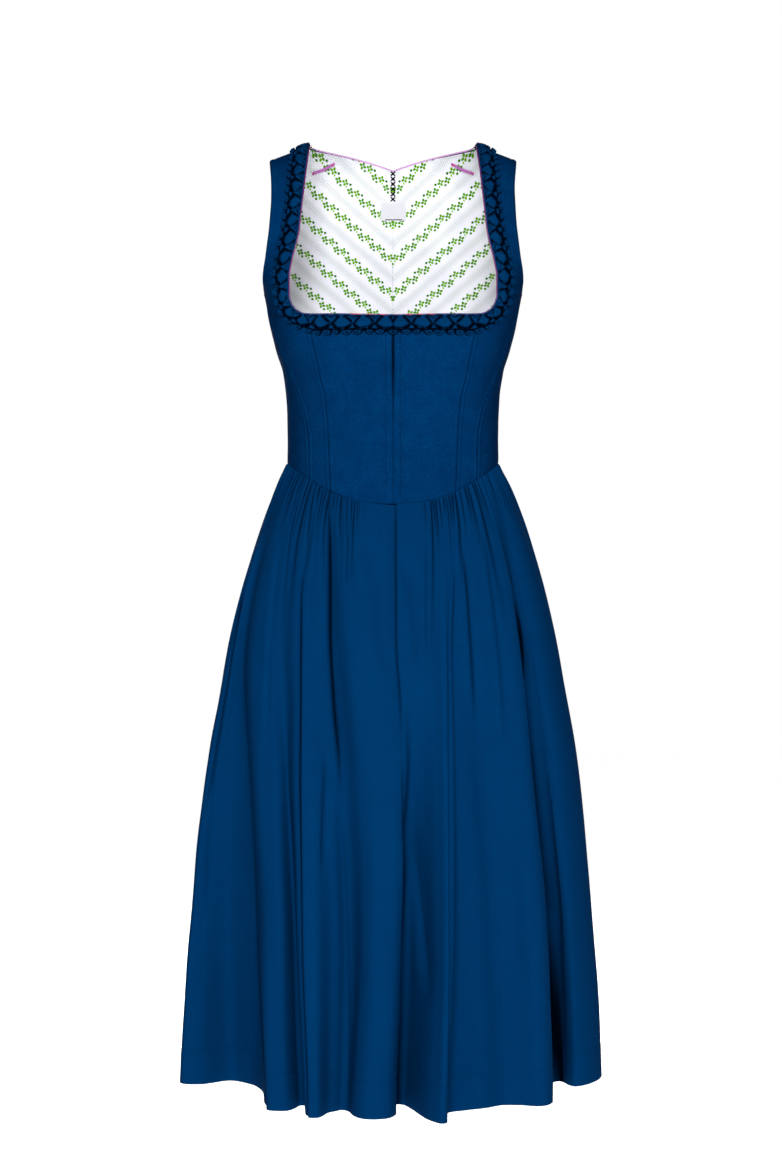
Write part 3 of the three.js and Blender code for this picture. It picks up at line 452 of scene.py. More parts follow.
@dataclass
class SkirtForm:
    """The gathered skirt's surface: an oval that grows to the hem, set out in folds."""

    bodice: BodiceForm
    hem_z: float = -1083.0
    hem_side_rise: float = 6.0
    hem_half: float = 243.5
    hem_depth: float = 190.0
    waist_depth: float = 95.0
    fold_growth: float = 0.85
    spread_growth: float = 0.6
    smooth_front: float = 15.0
    smooth_blend: float = 8.0
    down: tuple[float, ...] = (0, 0.03, 0.087, 0.144, 0.21, 0.29, 0.36, 0.46, 0.57, 0.64, 0.735, 0.83,
                               0.95, 1)
    grown: tuple[float, ...] = (0, 0.085, 0.22, 0.331, 0.447, 0.558, 0.635, 0.74, 0.818, 0.856, 0.905,
                                0.946, 0.988, 1)
    depths: tuple[float, ...] = (0, 0.22, 0.46, 0.72, 1)
    # x, y at the hem, and the share of the length where the fold starts
    hem_folds: tuple[tuple[float, float, float], ...] = (
        (-241, -42, 0.1), (-221, -38, 0.05), (-187, -8, 0.05), (-165, -26, 0.02), (-153, -60, 0.02),
        (-146, -130, 0.02), (-137, -157, 0.02), (-117, -161, 0.1), (-101, -135, 0.1), (-96, -188, 0.1),
        (-82, -195, 0.2), (-69, -166, 0.1), (-57, -157, 0.05), (-44, -186, 0.15), (-29, -201, 0.3),
        (-10, -199, 0.3), (2.5, -176, 0.3), (6.5, -133, 0.3), (19, -152, 0.3), (39, -205, 0.2),
        (52, -222, 0.05), (59, -211, 0.05), (63, -170, 0.05), (84, -155, 0.1), (118, -138, 0.1),
        (140, -135, 0.1), (161, -141, 0.05), (174, -128, 0.02), (180, -100, 0.02), (184, -18, 0.02),
        (197, -37, 0.05), (208, -47, 0.1), (226, -35, 0.1), (241, -6, 0.1), (239, 30, 0.1),
        (199, 46, 0.05), (182, 64, 0.02), (214, 98, 0.05), (205, 122, 0.1), (168, 124, 0.1),
        (136, 122, 0.05), (141, 152, 0.05), (129, 177, 0.1), (101, 180, 0.1), (67, 160, 0.05),
        (46, 163, 0.1), (30, 192, 0.15), (0, 205, 0.2), (-26, 193, 0.1), (-41, 159, 0.03),
        (-63, 160, 0.1), (-98, 182, 0.2), (-126, 178, 0.1), (-134, 150, 0.05), (-131, 119, 0.05),
        (-156, 114, 0.1), (-198, 118, 0.1), (-219, 99, 0.1), (-202, 67, 0.05), (-188, 45, 0.02),
        (-228, 31, 0.05), (-242, 6, 0.1))
    # fold number, then its degrees round from the centre front at the first four depths
    fold_lines: tuple[tuple[float, ...], ...] = (
        (1, -80, -81, -77, -78), (3, -74, -71, -61, -66), (5, -70, -66, -51, -43),
        (9, -44, -36, -29.6, -25.5), (12, -32, -23, -15.7, -13.5), (16, 0.3, 1, 3.7, 2.8),
        (21, 27, 20.7, 17.4, 15.4), (24, 38, 30, 27.7, 29.7), (27, 52, 52.5, 47.3, 48),
        (29, 60, 60, 63, 73), (33, 84, 86, 87, 87.5), (36, 107, 109, 112, 114), (40, 132, 134, 139, 138),
        (44, 156, 158, 161, 162), (49, 184, 187, 190, 192), (54, 216, 217, 219, 222),
        (59, 250, 251, 254, 254))

    def __post_init__(self) -> None:
        """Work out each fold's bearing at the hem and the leading folds' readings."""
        self.flare = Column(self.down, self.grown)
        self.count = len(self.hem_folds)
        bearings: list[float] = []
        for x, y, _ in self.hem_folds:
            raw = math.atan2(x / self.hem_half, -y / self.hem_depth) / DEGREE
            last = bearings[-1] if bearings else raw
            bearings.append(raw + 360 * round((last - raw) / 360))
        self.bearings = np.array(bearings)
        table = np.array(self.hem_folds)
        self.out = np.hypot(table[:, 0] / self.hem_half, table[:, 1] / self.hem_depth) - 1
        self.starts = table[:, 2]
        lines = [(int(row[0]), [*row[1:], self.bearings[int(row[0])]]) for row in self.fold_lines]
        first, last_line = lines[0], lines[-1]
        lines.insert(0, (last_line[0] - self.count, [value - 360 for value in last_line[1]]))
        lines.append((first[0] + self.count, [value + 360 for value in first[1]]))
        self.leader_folds = np.array([fold for fold, _ in lines], float)
        self.leaders = [Column(self.depths, degrees) for _, degrees in lines]
        self.ring_cache: dict[float, Array] = {}

    def ring_folds(self, down: float) -> Array:
        """Return each fold's point in plan at a share of the length."""
        key = round(down, 7)
        if key not in self.ring_cache:
            here = np.array([float(leader(down)) for leader in self.leaders])
            hem = np.array([leader.out[-1] for leader in self.leaders])
            folds = np.arange(self.count)
            follow = np.interp(folds, self.leader_folds, here)
            at_hem = np.interp(folds, self.leader_folds, hem)
            bearing = (follow + (self.bearings - at_hem) * down ** self.spread_growth) * DEGREE
            growth = np.maximum((down - self.starts) / (1 - self.starts), 0) ** self.fold_growth
            out = 1 + self.out * growth
            grown = float(self.flare(down))
            half = mix(self.bodice.waist_half, self.hem_half, grown)
            depth = mix(self.waist_depth, self.hem_depth, grown)
            power = 2 / mix(float(self.bodice.round(self.bodice.waist_side_z)), 2, min(down * 4, 1))
            x = half * out * signed_power(np.sin(bearing), power)
            y = -depth * out * signed_power(np.cos(bearing), power)
            self.ring_cache[key] = np.stack([x, y], axis=-1)
        return self.ring_cache[key]

    def ring(self, fold: Array, down: float) -> Array:
        """Return points in plan on a smooth closed curve through the folds."""
        nodes = self.ring_folds(down)
        base = np.floor(fold).astype(int)
        t = (fold - base)[..., None]
        p0, p1, p2, p3 = (nodes[(base + step) % self.count] for step in (-1, 0, 1, 2))
        d0, d1, d2 = (np.maximum(np.linalg.norm(b - a, axis=-1, keepdims=True), 1e-6) ** 0.5
                      for a, b in ((p0, p1), (p1, p2), (p2, p3)))
        leave = ((p1 - p0) / d0 - (p2 - p0) / (d0 + d1) + (p2 - p1) / d1) * d1
        arrive = ((p2 - p1) / d1 - (p3 - p1) / (d1 + d2) + (p3 - p2) / d2) * d1
        square, cube = t * t, t * t * t
        turn = -3 * p1 + 3 * p2 - 2 * leave - arrive
        return p1 + leave * t + turn * square + (2 * p1 - 2 * p2 + leave + arrive) * cube

    def grid(self, folds: Array, downs: Array) -> Array:
        """Return points for rows of one share of the length and columns of one fold number."""
        waist = self.ring(folds, 0.0)
        top = self.bodice.waist(waist[:, 0], waist[:, 1] > 0) - SEAM_SHOWN
        rows = []
        for down in downs:
            plan = self.ring(folds, float(down))
            rise = self.hem_side_rise * np.minimum((np.abs(plan[:, 0]) / self.hem_half) ** 4, 1)
            rows.append(np.column_stack([plan, mix(top, self.hem_z + rise, down)]))
        return np.array(rows)

    def even_folds(self, first: float, last: float, columns: int) -> Array:
        """Return fold numbers spaced by the cloth's length at waist and hem together."""
        fine = np.linspace(first, last, 1200)
        waist = np.linalg.norm(np.diff(self.ring(fine, 0.0), axis=0), axis=-1)
        hem = np.linalg.norm(np.diff(self.ring(fine, 1.0), axis=0), axis=-1)
        length = np.concatenate([[0], np.cumsum(1.2 * waist + hem)])
        return np.interp(np.linspace(0, length[-1], columns + 1), length, fine)


# ------------------------------------------------------------------ mesh making
def mesh_of(maker: bmesh.types.BMesh, name: str) -> bpy.types.Mesh:
    """Return a smooth mesh of a bmesh, which is freed."""
    mesh = bpy.data.meshes.new(name)
    maker.to_mesh(mesh)
    maker.free()
    mesh.polygons.foreach_set("use_smooth", np.ones(len(mesh.polygons), bool))
    return mesh


def linked(data: Any) -> Piece:
    """Return a new object of a mesh, lamp or camera, in the scene."""
    made = bpy.data.objects.new(data.name, data)
    bpy.context.collection.objects.link(made)
    return made


@dataclass
class ClothGrid:
    """A sheet of points in rows, with what is needed to push it out and clothe it.

    Attributes:
        points: rows and columns of points, the rows rising and the columns running round to the left hand.
        uv: rows and columns of cloth coordinates in millimetres.
    """

    points: Array
    uv: Array = field(init=False)

    def __post_init__(self) -> None:
        """Measure the cloth across and along."""
        across = np.linalg.norm(np.diff(self.points, axis=1), axis=-1)
        along = np.linalg.norm(np.diff(self.points, axis=0), axis=-1)
        u = np.pad(np.cumsum(across, axis=1), ((0, 0), (1, 0)))
        v = np.pad(np.cumsum(along, axis=0), ((1, 0), (0, 0)))
        self.uv = np.stack([u, v], axis=-1)

    @property
    def normals(self) -> Array:
        """Outward directions, the columns' direction crossed with the rows'."""
        across = np.gradient(self.points, axis=1)
        along = np.gradient(self.points, axis=0)
        normal = np.cross(across, along)
        length = np.linalg.norm(normal, axis=-1, keepdims=True)
        return normal / np.maximum(length, 1e-9)

    def edge_distances(self) -> tuple[Array, Array, Array, Array]:
        """Return the cloth's distance from its left, right, lower and upper edges."""
        u, v = self.uv[..., 0], self.uv[..., 1]
        return u, u[:, -1:] - u, v, v[-1:, :] - v

    @property
    def area(self) -> float:
        """The grid's area in square metres."""
        first = self.points[1:, 1:] - self.points[:-1, :-1]
        second = self.points[1:, :-1] - self.points[:-1, 1:]
        return float(np.linalg.norm(np.cross(first, second), axis=-1).sum() / 2) * MM * MM

    def pushed(self, height: Any) -> "ClothGrid":
        """Return the grid moved along its outward directions, with its cloth coordinates kept."""
        moved = ClothGrid(self.points + self.normals * np.asarray(height)[..., None])
        moved.uv = self.uv
        return moved

    def mirrored(self) -> "ClothGrid":
        """Return the mirror image on the other side of the body."""
        image = ClothGrid((self.points * np.array([-1, 1, 1]))[:, ::-1])
        image.uv = (self.uv * np.array([-1, 1]))[:, ::-1]
        return image

    def piece(self, name: str, wall: float, crease: Array | None = None) -> Piece:
        """Make a cloth wall of this sheet, its thickness turned inwards.

        Args:
            name: the piece's name.
            wall: thickness in millimetres.
            crease: the painted shade at each point, kept on the mesh as an attribute.

        Returns:
            The new object.
        """
        rows, columns = self.points.shape[0] - 1, self.points.shape[1] - 1
        maker = bmesh.new()
        maker.loops.layers.uv.new("cloth")
        bmesh.ops.create_grid(maker, x_segments=columns, y_segments=rows, size=0.5, calc_uvs=True)
        mesh = mesh_of(maker, name)
        flat = np.empty(len(mesh.vertices) * 3)
        mesh.vertices.foreach_get("co", flat)
        flat = flat.reshape(-1, 3)
        column = np.rint((flat[:, 0] + 0.5) * columns).astype(int)
        row = np.rint((flat[:, 1] + 0.5) * rows).astype(int)
        mesh.vertices.foreach_set("co", (self.points[row, column] * MM).ravel())
        loops = np.empty(len(mesh.loops), int)
        mesh.loops.foreach_get("vertex_index", loops)
        uv = self.uv[row, column][loops]
        mesh.uv_layers["cloth"].data.foreach_set("uv", (uv * MM).ravel())
        # The crease attribute carries the painted shade that the cloth's finish mixes in.
        if crease is not None:
            layer = mesh.attributes.new("crease", "FLOAT", "POINT")
            layer.data.foreach_set("value", crease[row, column])
        used = np.empty(len(mesh.loops), int)
        mesh.loops.foreach_get("edge_index", used)
        outer = np.bincount(used, minlength=len(mesh.edges)) == 1
        mesh.attributes.new("sharp_edge", "BOOLEAN", "EDGE").data.foreach_set("value", outer)
        mesh.update()
        piece = linked(mesh)
        solid = piece.modifiers.new("wall", "SOLIDIFY")
        solid.thickness = wall * MM
        solid.offset = -1
        return piece


def panel_rows(low: int, middle: int, strap: int = 1) -> Array:
    """Return a panel's row places: to the neck corner, 1, the armhole, 2, and up the shoulder, 3."""
    return np.concatenate([np.linspace(0, 1, low), 1 + np.linspace(0, 1, middle)[1:],
                           2 + np.linspace(0, 1, strap)[1:] ** 1.35])


def edged(columns: int) -> Array:
    """Return column places from 0 to 1 that lie closer together near both edges."""
    even = np.linspace(0, 1, columns + 1)
    return mix(even, 0.5 - 0.5 * np.cos(math.pi * even), 0.7)


def grid_of(surface: Surface, columns: Sequence[float], rows: Sequence[float]) -> ClothGrid:
    """Return a panel's grid, its side edges drawn in by half of the gap that shows."""
    across, up = np.meshgrid(np.asarray(columns, float), np.asarray(rows, float))
    ends = np.linalg.norm(surface(np.ones_like(up), up) - surface(np.zeros_like(up), up), axis=-1)
    edge = SEAM_SHOWN / 2 / ends
    return ClothGrid(surface(mix(edge, 1 - edge, across), up))


def settle(piece: Piece, slot: str, material: Material, *nodes: str) -> Piece:
    """Ride a piece on the body, give it its finish, and let it stand for CAD nodes."""
    piece.data.materials.clear()
    piece.data.materials.append(material)
    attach(piece, BODY)
    if nodes:
        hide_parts(*nodes)
    LOG.info("%s: %d faces", piece.name, len(piece.data.polygons))
    return piece


def declare(piece: Piece, grid: ClothGrid, rests_on: Sequence[str]) -> None:
    """Log the size of the sheet of cloth that a piece is cut from, as its grid measures.

    Args:
        piece: the cloth piece.
        grid: the grid that it was made from.
        rests_on: names of what it lies on or hangs from; not used.
    """
    across = float(np.linalg.norm(np.diff(grid.points, axis=1), axis=-1).sum(axis=1).max()) * MM
    along = float(np.linalg.norm(np.diff(grid.points, axis=0), axis=-1).sum(axis=0).max()) * MM
    area = min(max(grid.area, 0.3 * across * along), across * along)
    list(rests_on)
    LOG.info("%s: cut %.3f x %.3f m, %.4f m2", piece.name, across, along, area)


def stitch_run(name: str, places: Array, ways: Array, outs: Array, length: float,
               radius: float) -> Piece:
    """Make a row of thread stitches as one mesh.

    Args:
        name: the piece's name.
        places: middle of each stitch, in millimetres.
        ways: direction of each stitch.
        outs: outward direction at each stitch.
        length: a stitch's length.
        radius: a thread's radius.

    Returns:
        The new object.
    """
    maker = bmesh.new()
    for place, way, out in zip(places, ways, outs):
        made = bmesh.ops.create_uvsphere(maker, u_segments=6, v_segments=4, radius=1.0)["verts"]
        way = Vector(way).normalized()
        out = (Vector(out) - way * way.dot(Vector(out))).normalized()
        side = way.cross(out)
        for vert in made:
            x, y, z = vert.co
            spot = way * (z * length / 2) + side * (x * radius) + out * (y * radius)
            vert.co = (Vector(place) + spot) * MM
    # A sphere's faces come in no fixed order; sorted, they make the same mesh on every run.
    maker.verts.index_update()
    count = len(maker.verts)
    maker.faces.sort(key=lambda face: face.verts[0].index * count + face.verts[1].index)
    return linked(mesh_of(maker, name))


def along_line(line: Array, outs: Array, spacing: float, lift: float) -> tuple[Array, Array, Array]:
    """Return places, ways and outs at even steps along a line of points."""
    steps = np.linalg.norm(np.diff(line, axis=0), axis=-1)
    length = np.concatenate([[0], np.cumsum(steps)])
    at = np.arange(spacing / 2, length[-1], spacing)
    places = np.column_stack([np.interp(at, length, line[:, k]) for k in range(3)])
    out = np.column_stack([np.interp(at, length, outs[:, k]) for k in range(3)])
    ways = np.column_stack([np.interp(at, length, np.gradient(line[:, k], length)) for k in range(3)])
    return places + out * lift, ways, out


def tube_piece(name: str, path: Array, radii: Array, sides: int = 8) -> Piece:
    """Make a round cord-like trim along a path, as a skinned run of bridged circles.

    Args:
        name: the piece's name.
        path: points in millimetres.
        radii: the tube's radius at each point.
        sides: how many sides a ring has.

    Returns:
        The new object.
    """
    maker = bmesh.new()
    ways = np.gradient(path, axis=0)
    rings = []
    up = Vector((0, 0, 1))
    for place, way, radius in zip(path, ways, radii):
        made = bmesh.ops.create_circle(maker, segments=sides, radius=radius * MM)["verts"]
        turn = up.rotation_difference(Vector(way).normalized())
        for vert in made:
            vert.co = turn @ vert.co + Vector(place) * MM
        rings.append(made)
    for before, after in zip(rings, rings[1:]):
        edges = [edge for ring in (before, after)
                 for edge in {e for v in ring for e in v.link_edges if e.other_vert(v) in ring}]
        bmesh.ops.bridge_loops(maker, edges=edges)
    bmesh.ops.holes_fill(maker, edges=[e for e in maker.edges if e.is_boundary], sides=sides)
    bmesh.ops.recalc_face_normals(maker, faces=maker.faces)
    return linked(mesh_of(maker, name))


# ------------------------------------------------------------------ shader maths
class Weave(Enum):
    """How a cloth's threads cross."""

    TWILL = "twill"
    PLAIN = "plain"


def operator(operation: str, swapped: bool = False) -> Callable[["Sock", Any], "Sock"]:
    """Return a method that adds a Math node, its two values swapped for a reflected operator."""
    def method(self: "Sock", other: Any) -> "Sock":
        """Work out the node's result on this and another value."""
        values = (other, self) if swapped else (self, other)
        return self.graph.node("ShaderNodeMath", {"operation": operation}, *values)

    return method


class Sock:
    """A shader socket that takes part in Python arithmetic."""

    def __init__(self, graph: "Graph", socket: Any) -> None:
        """Wrap a socket of a graph's node."""
        self.graph = graph
        self.socket = socket

    __add__ = __radd__ = operator("ADD")
    __mul__ = __rmul__ = operator("MULTIPLY")
    __sub__ = operator("SUBTRACT")
    __rsub__ = operator("SUBTRACT", swapped=True)
    __truediv__ = operator("DIVIDE")
    __rtruediv__ = operator("DIVIDE", swapped=True)

    def __abs__(self) -> "Sock":
        """Drop the sign."""
        return self.call("ABSOLUTE")

    def call(self, operation: str, *values: Any) -> "Sock":
        """Return a Math operation on this value and any others."""
        return self.graph.node("ShaderNodeMath", {"operation": operation}, self, *values)

    def ease(self, low: float, high: float) -> "Sock":
        """Return 0 below low and 1 above high, eased between."""
        return self.graph.node("ShaderNodeMapRange", {"interpolation_type": "SMOOTHSTEP"},
                               self, low, high, 0.0, 1.0)


class Graph:
    """A material's node tree, built from expressions."""

    def __init__(self, name: str) -> None:
        """Start an empty material with an output."""
        self.material = bpy.data.materials.new(name)
        self.material.use_nodes = True
        self.tree = self.material.node_tree
        self.tree.nodes.clear()
        self.output = self.tree.nodes.new("ShaderNodeOutputMaterial")

    def node(self, kind: str, settings: dict[str, Any] | None = None, *inputs: Any, out: Any = 0,
             **named: Any) -> Sock:
        """Add a node.

        Args:
            kind: the node's type.
            settings: properties that are set first.
            inputs: values or sockets of its inputs, in order.
            out: which output is returned.
            named: values or sockets by input name, with _ for a space.

        Returns:
            The chosen output.
        """
        made = self.tree.nodes.new(kind)
        for key, value in (settings or {}).items():
            setattr(made, key, value)
        pairs = list(enumerate(inputs)) + [(key.replace("_", " "), value) for key, value in named.items()]
        for key, value in pairs:
            if isinstance(value, Sock):
                self.tree.links.new(value.socket, made.inputs[key])
            elif value is not None:
                made.inputs[key].default_value = value
        return Sock(self, made.outputs[out])

    def blend(self, share: Any, first: Any, second: Any) -> Sock:
        """Return a mix of two colours."""
        colours = [(*value, 1) if isinstance(value, tuple) else value for value in (first, second)]
        skipped = [None] * 5
        return self.node("ShaderNodeMix", {"data_type": "RGBA"}, share, *skipped, *colours, out=2)

    def place(self) -> Sock:
        """Return the piece's own coordinates in metres."""
        return self.node("ShaderNodeTexCoord", None, out="Object")

    def cloth(self) -> Sock:
        """Return the cloth's coordinates in metres."""
        return self.node("ShaderNodeUVMap", {"uv_map": "cloth"})

    def mask(self, name: str) -> Sock:
        """Return a value kept on the mesh."""
        return self.node("ShaderNodeAttribute", {"attribute_name": name}, out="Fac")

    def parts(self, vector: Sock) -> tuple[Sock, Sock, Sock]:
        """Return a vector's three numbers."""
        split = self.node("ShaderNodeSeparateXYZ", None, vector)
        outputs = split.socket.node.outputs
        return tuple(Sock(self, outputs[i]) for i in range(3))

    def noise(self, vector: Sock, scale: float, detail: float = 2.0, roughness: float = 0.5) -> Sock:
        """Return soft noise between 0 and 1."""
        return self.node("ShaderNodeTexNoise", None, Vector=vector, Scale=scale, Detail=detail,
                         Roughness=roughness)

    def threads(self, weave: Weave, spacing: float) -> Sock:
        """Return the relief of a cloth's crossing threads, a spacing in metres apart."""
        u, v, _ = self.parts(self.cloth())
        turns = 2 * math.pi / spacing
        if weave is Weave.TWILL:
            return ((u + v * 0.9) * turns).call("SINE") * 0.8 + (v * (turns * 2)).call("SINE") * 0.2
        return (u * turns).call("SINE") * (v * turns).call("SINE")

    def bump(self, height: Sock, strength: float, distance: float) -> Sock:
        """Return a normal bent by a height."""
        return self.node("ShaderNodeBump", None, Strength=strength, Distance=distance, Height=height)

    def finish(self, colour: Sock, roughness: Any, normal: Sock | None = None, **constants: Any
               ) -> Material:
        """Close the tree with one principled shader and return the material."""
        shader = self.node("ShaderNodeBsdfPrincipled", None, Base_Color=colour, Roughness=roughness,
                           Normal=normal, **constants)
        self.tree.links.new(shader.socket, self.output.inputs["Surface"])
        return self.material


# ------------------------------------------------------------------ finishes
@dataclass(frozen=True)
class ClothFinish:
    """A dyed woven cloth, darkened by painted shade where its mesh's crease mask is high.

    Attributes:
        name: the finish's name.
        light: colour of the cloth.
        dark: colour in its slubs and flecks; scaled down, the colour of its painted shade.
        weave: how its threads cross.
        thread: spacing of its threads in metres.
        roughness: middle roughness.
        bump: strength of its threads' relief.
        fleck: how much the grain changes its tone.
        grain: scale of the grain.
    """

    name: str
    light: Shade
    dark: Shade
    weave: Weave = Weave.PLAIN
    thread: float = 0.0008
    roughness: float = 0.8
    bump: float = 0.3
    fleck: float = 0.25
    grain: float = 900.0

    def material(self) -> Material:
        """Return the finish as a material."""
        graph = Graph(self.name)
        place = graph.place()
        threads = graph.threads(self.weave, self.thread)
        grain = graph.noise(place, self.grain, 3, 0.7)
        slub = graph.noise(place, 55, 4, 0.6)
        cloud = graph.noise(place, 7, 2)
        height = threads * 0.5 + grain * 0.9
        flecks = (grain - 0.5) * self.fleck
        share = (slub * 0.6 + cloud * 0.4 + flecks - 0.12).ease(0.1, 0.9)
        # Painted shade: a near-black copy of the dark colour, mixed in by the mesh's crease mask.
        deep = tuple(value * 0.06 for value in self.dark)
        colour = graph.blend(share, self.dark, self.light)
        colour = graph.blend(graph.mask("crease").ease(0.05, 1.0), colour, deep)
        normal = graph.bump(height, self.bump, 0.0004)
        rough = slub * 0.12 + (self.roughness - 0.06)
        return graph.finish(colour, rough, normal, IOR=MATTE_IOR)


@dataclass(frozen=True)
class Leaf:
    """One leaf of the printed vine: its place in the repeat, its half sizes, turn and tone."""

    along: float
    across: float
    long: float
    wide: float
    turn: float
    tone: float


@dataclass(frozen=True)
class PrintFinish:
    """White lining printed with leaf vines and dotted double lines that meet in a V at the centre back."""

    name: str
    ground: Shade = (0.51, 0.51, 0.565)
    warm: Shade = (0.56, 0.56, 0.60)
    green: Shade = (0.09, 0.25, 0.0)
    deep_green: Shade = (0.008, 0.105, 0.0)
    dots: Shade = (0.2, 0.27, 0.19)
    thread: float = 0.0008
    slope: float = 40 * DEGREE
    pitch: float = 0.0311
    first_vine_z: float = -0.0376
    repeat: float = 0.0179
    stem_wave: float = 1.9
    dotted_lines: tuple[tuple[float, float, float], ...] = (
        (0.8, 0.0021, 0.75), (2.4, 0.0021, 0.75), (4.6, 0.0023, 0.4))
    clovers: tuple[tuple[float, float, float], ...] = ((1.0, -1.9, 0.3), (8.6, 1.7, 0.55))
    petals: tuple[float, ...] = (12, 102, 192, 282)
    petal_out: float = 2.4
    petal_long: float = 1.75
    petal_wide: float = 1.42
    row_shift: float = 0.0061
    singles: tuple[Leaf, ...] = (
        Leaf(6.1, -4.4, 1.5, 1.4, 0, 0.35), Leaf(14.6, 3.9, 1.5, 1.4, 0, 0.0),
        Leaf(12.4, -1.2, 1.5, 0.9, 100, 1.6))

    @property
    def leaves(self) -> list[Leaf]:
        """Return every leaf of one repeat."""
        made = list(self.singles)
        for along, across, tone in self.clovers:
            for number, petal in enumerate(self.petals):
                turn = petal * DEGREE
                out, over = self.petal_out * math.cos(turn), self.petal_out * math.sin(turn)
                shade = min(tone + 0.15 * number, 1.0)
                made.append(Leaf(along + out, across + over, self.petal_long, self.petal_wide, petal, shade))
        return made

    def material(self) -> Material:
        """Return the finish as a material."""
        graph = Graph(self.name)
        place = graph.place()
        x, _, z = graph.parts(place)
        side = abs(x)
        cosine, sine = math.cos(self.slope), math.sin(self.slope)
        along = side * cosine + z * sine
        across = z * cosine - side * sine - self.first_vine_z * cosine
        row = (across / self.pitch + 0.5).call("FLOOR")
        between = across - row * self.pitch
        run = (0.004 - along + row * self.row_shift).call("FLOORED_MODULO", self.repeat) * 1000
        colour = graph.blend(graph.noise(place, 30, 2).ease(0.3, 0.8), self.ground, self.warm)
        colour = self._vine(graph, colour, run, between * 1000)
        colour = self._dotted(graph, colour, along, (0.5 * self.pitch - abs(between)) * 1000)
        threads = graph.threads(Weave.PLAIN, self.thread)
        normal = graph.bump(threads + graph.noise(place, 700, 2), 0.2, 0.0003)
        return graph.finish(colour, graph.noise(place, 80) * 0.1 + 0.78, normal, IOR=MATTE_IOR)

    def _vine(self, graph: Graph, colour: Sock, run: Sock, lane: Sock) -> Sock:
        """Return the cloth's colour with the stem and the leaves printed on it.

        Args:
            graph: the material's graph.
            colour: the cloth's colour.
            run: millimetres along one repeat of the vine.
            lane: millimetres from the vine's middle line.

        Returns:
            The printed colour.
        """
        span = self.repeat * 1000
        wave = (run * (2 * math.pi / span)).call("SINE") * self.stem_wave
        stem = 1 - abs(lane - wave).ease(0.15, 0.5)
        colour = graph.blend(stem * 0.1, colour, self.green)
        for leaf in self.leaves:
            turn = leaf.turn * DEGREE
            off = (run - leaf.along + span / 2).call("FLOORED_MODULO", span) - span / 2
            up = lane - leaf.across
            first = (off * math.cos(turn) + up * math.sin(turn)) / leaf.long
            second = (up * math.cos(turn) - off * math.sin(turn)) / leaf.wide
            reach = first * first + second * second
            shade = tuple(mix(a, b, leaf.tone) for a, b in zip(self.deep_green, self.green))
            colour = graph.blend(1 - reach.ease(0.95, 1.12), colour, shade)
        return colour

    def _dotted(self, graph: Graph, colour: Sock, along: Sock, edge: Sock) -> Sock:
        """Return the cloth's colour with the dotted lines midway between two vines.

        Args:
            graph: the material's graph.
            colour: the cloth's colour.
            along: metres along the lines.
            edge: millimetres from the middle between two vines.

        Returns:
            The printed colour.
        """
        for offset, spacing, strength in self.dotted_lines:
            beads = (along * (2 * math.pi / spacing)).call("SINE").ease(-0.3, 0.5)
            line = 1 - abs(edge - offset).ease(0.4, 0.8)
            colour = graph.blend(beads * line * strength, colour, self.dots)
        return colour


@dataclass(frozen=True)
class PlainFinish:
    """Thread, ribbon or label cloth of one colour with a fine grain."""

    name: str
    colour: Shade
    shade: Shade
    roughness: float = 0.6
    gloss: float = 1.1

    def material(self) -> Material:
        """Return the finish as a material."""
        graph = Graph(self.name)
        place = graph.place()
        grain = graph.noise(place, FIBRE_SCALE, 2)
        colour = graph.blend(grain.ease(0.3, 0.7), self.shade, self.colour)
        normal = graph.bump(grain, 0.3, 0.0002)
        return graph.finish(colour, grain * 0.1 + self.roughness, normal, IOR=self.gloss)


@dataclass(frozen=True)
class PipingFinish:
    """Satin piping: lilac round the back, deep magenta beside the trim and red near the centre front."""

    name: str
    lilac: Shade = (0.40, 0.20, 0.42)
    magenta: Shade = (0.08, 0.004, 0.07)
    dusk: Shade = (0.045, 0.03, 0.11)
    red: Shade = (0.42, 0.004, 0.03)
    red_from: float = 0.01
    red_half: float = 0.05
    front_z: float = -0.195

    def material(self) -> Material:
        """Return the finish as a material."""
        graph = Graph(self.name)
        place = graph.place()
        x, y, z = graph.parts(place)
        grain = graph.noise(place, 1200, 2)
        patch = graph.noise(place, 130, 2).ease(0.45, 0.55)
        near = (1 - abs(x).ease(self.red_half * 0.8, self.red_half)) * abs(x).ease(0, self.red_from)
        front = 1 - z.ease(self.front_z, self.front_z + 0.02)
        colour = graph.blend(front, self.magenta, self.dusk)
        colour = graph.blend(near * front * patch, colour, self.red)
        colour = graph.blend(y.ease(-0.002, 0.006), colour, self.lilac)
        return graph.finish(colour, grain * 0.15 + 0.4, graph.bump(grain, 0.2, 0.0002))


def worn(finish: Any) -> Any:
    """Return a field that holds a finish's material, made with the wardrobe."""
    return field(default_factory=finish.material)


@dataclass
class Wardrobe:
    """Every finish of the dress, made once."""

    bodice: Material = worn(ClothFinish(
        "bodice_twill", (0.0, 0.0235, 0.082), (0.0, 0.0125, 0.05), Weave.TWILL, thread=0.0014,
        roughness=0.9, bump=0.8, fleck=1.3, grain=520))
    skirt: Material = worn(ClothFinish(
        "skirt_cloth", (0.0, 0.0188, 0.066), (0.0, 0.0152, 0.056), roughness=0.85, bump=0.22))
    trim: Material = worn(ClothFinish(
        "ruched_cloth", (0.0, 0.0215, 0.071), (0.0, 0.0135, 0.049)))
    lining: Material = worn(PrintFinish("printed_lining"))
    piping: Material = worn(PipingFinish("satin_piping"))
    ribbon: Material = worn(PlainFinish(
        "lilac_ribbon", (0.36, 0.12, 0.34), (0.22, 0.06, 0.22), 0.4, gloss=1.3))
    ribbon_end: Material = worn(PlainFinish("red_bartack", (0.45, 0.02, 0.05), (0.3, 0.01, 0.03)))
    label: Material = worn(PlainFinish("label_cloth", (0.43, 0.43, 0.46), (0.4, 0.4, 0.43), 0.55))
    blue_thread: Material = worn(PlainFinish(
        "blue_thread", (0.0, 0.014, 0.052), (0.0, 0.008, 0.034)))
    black_thread: Material = worn(PlainFinish(
        "black_thread", (0.006, 0.006, 0.01), (0.003, 0.003, 0.004)))


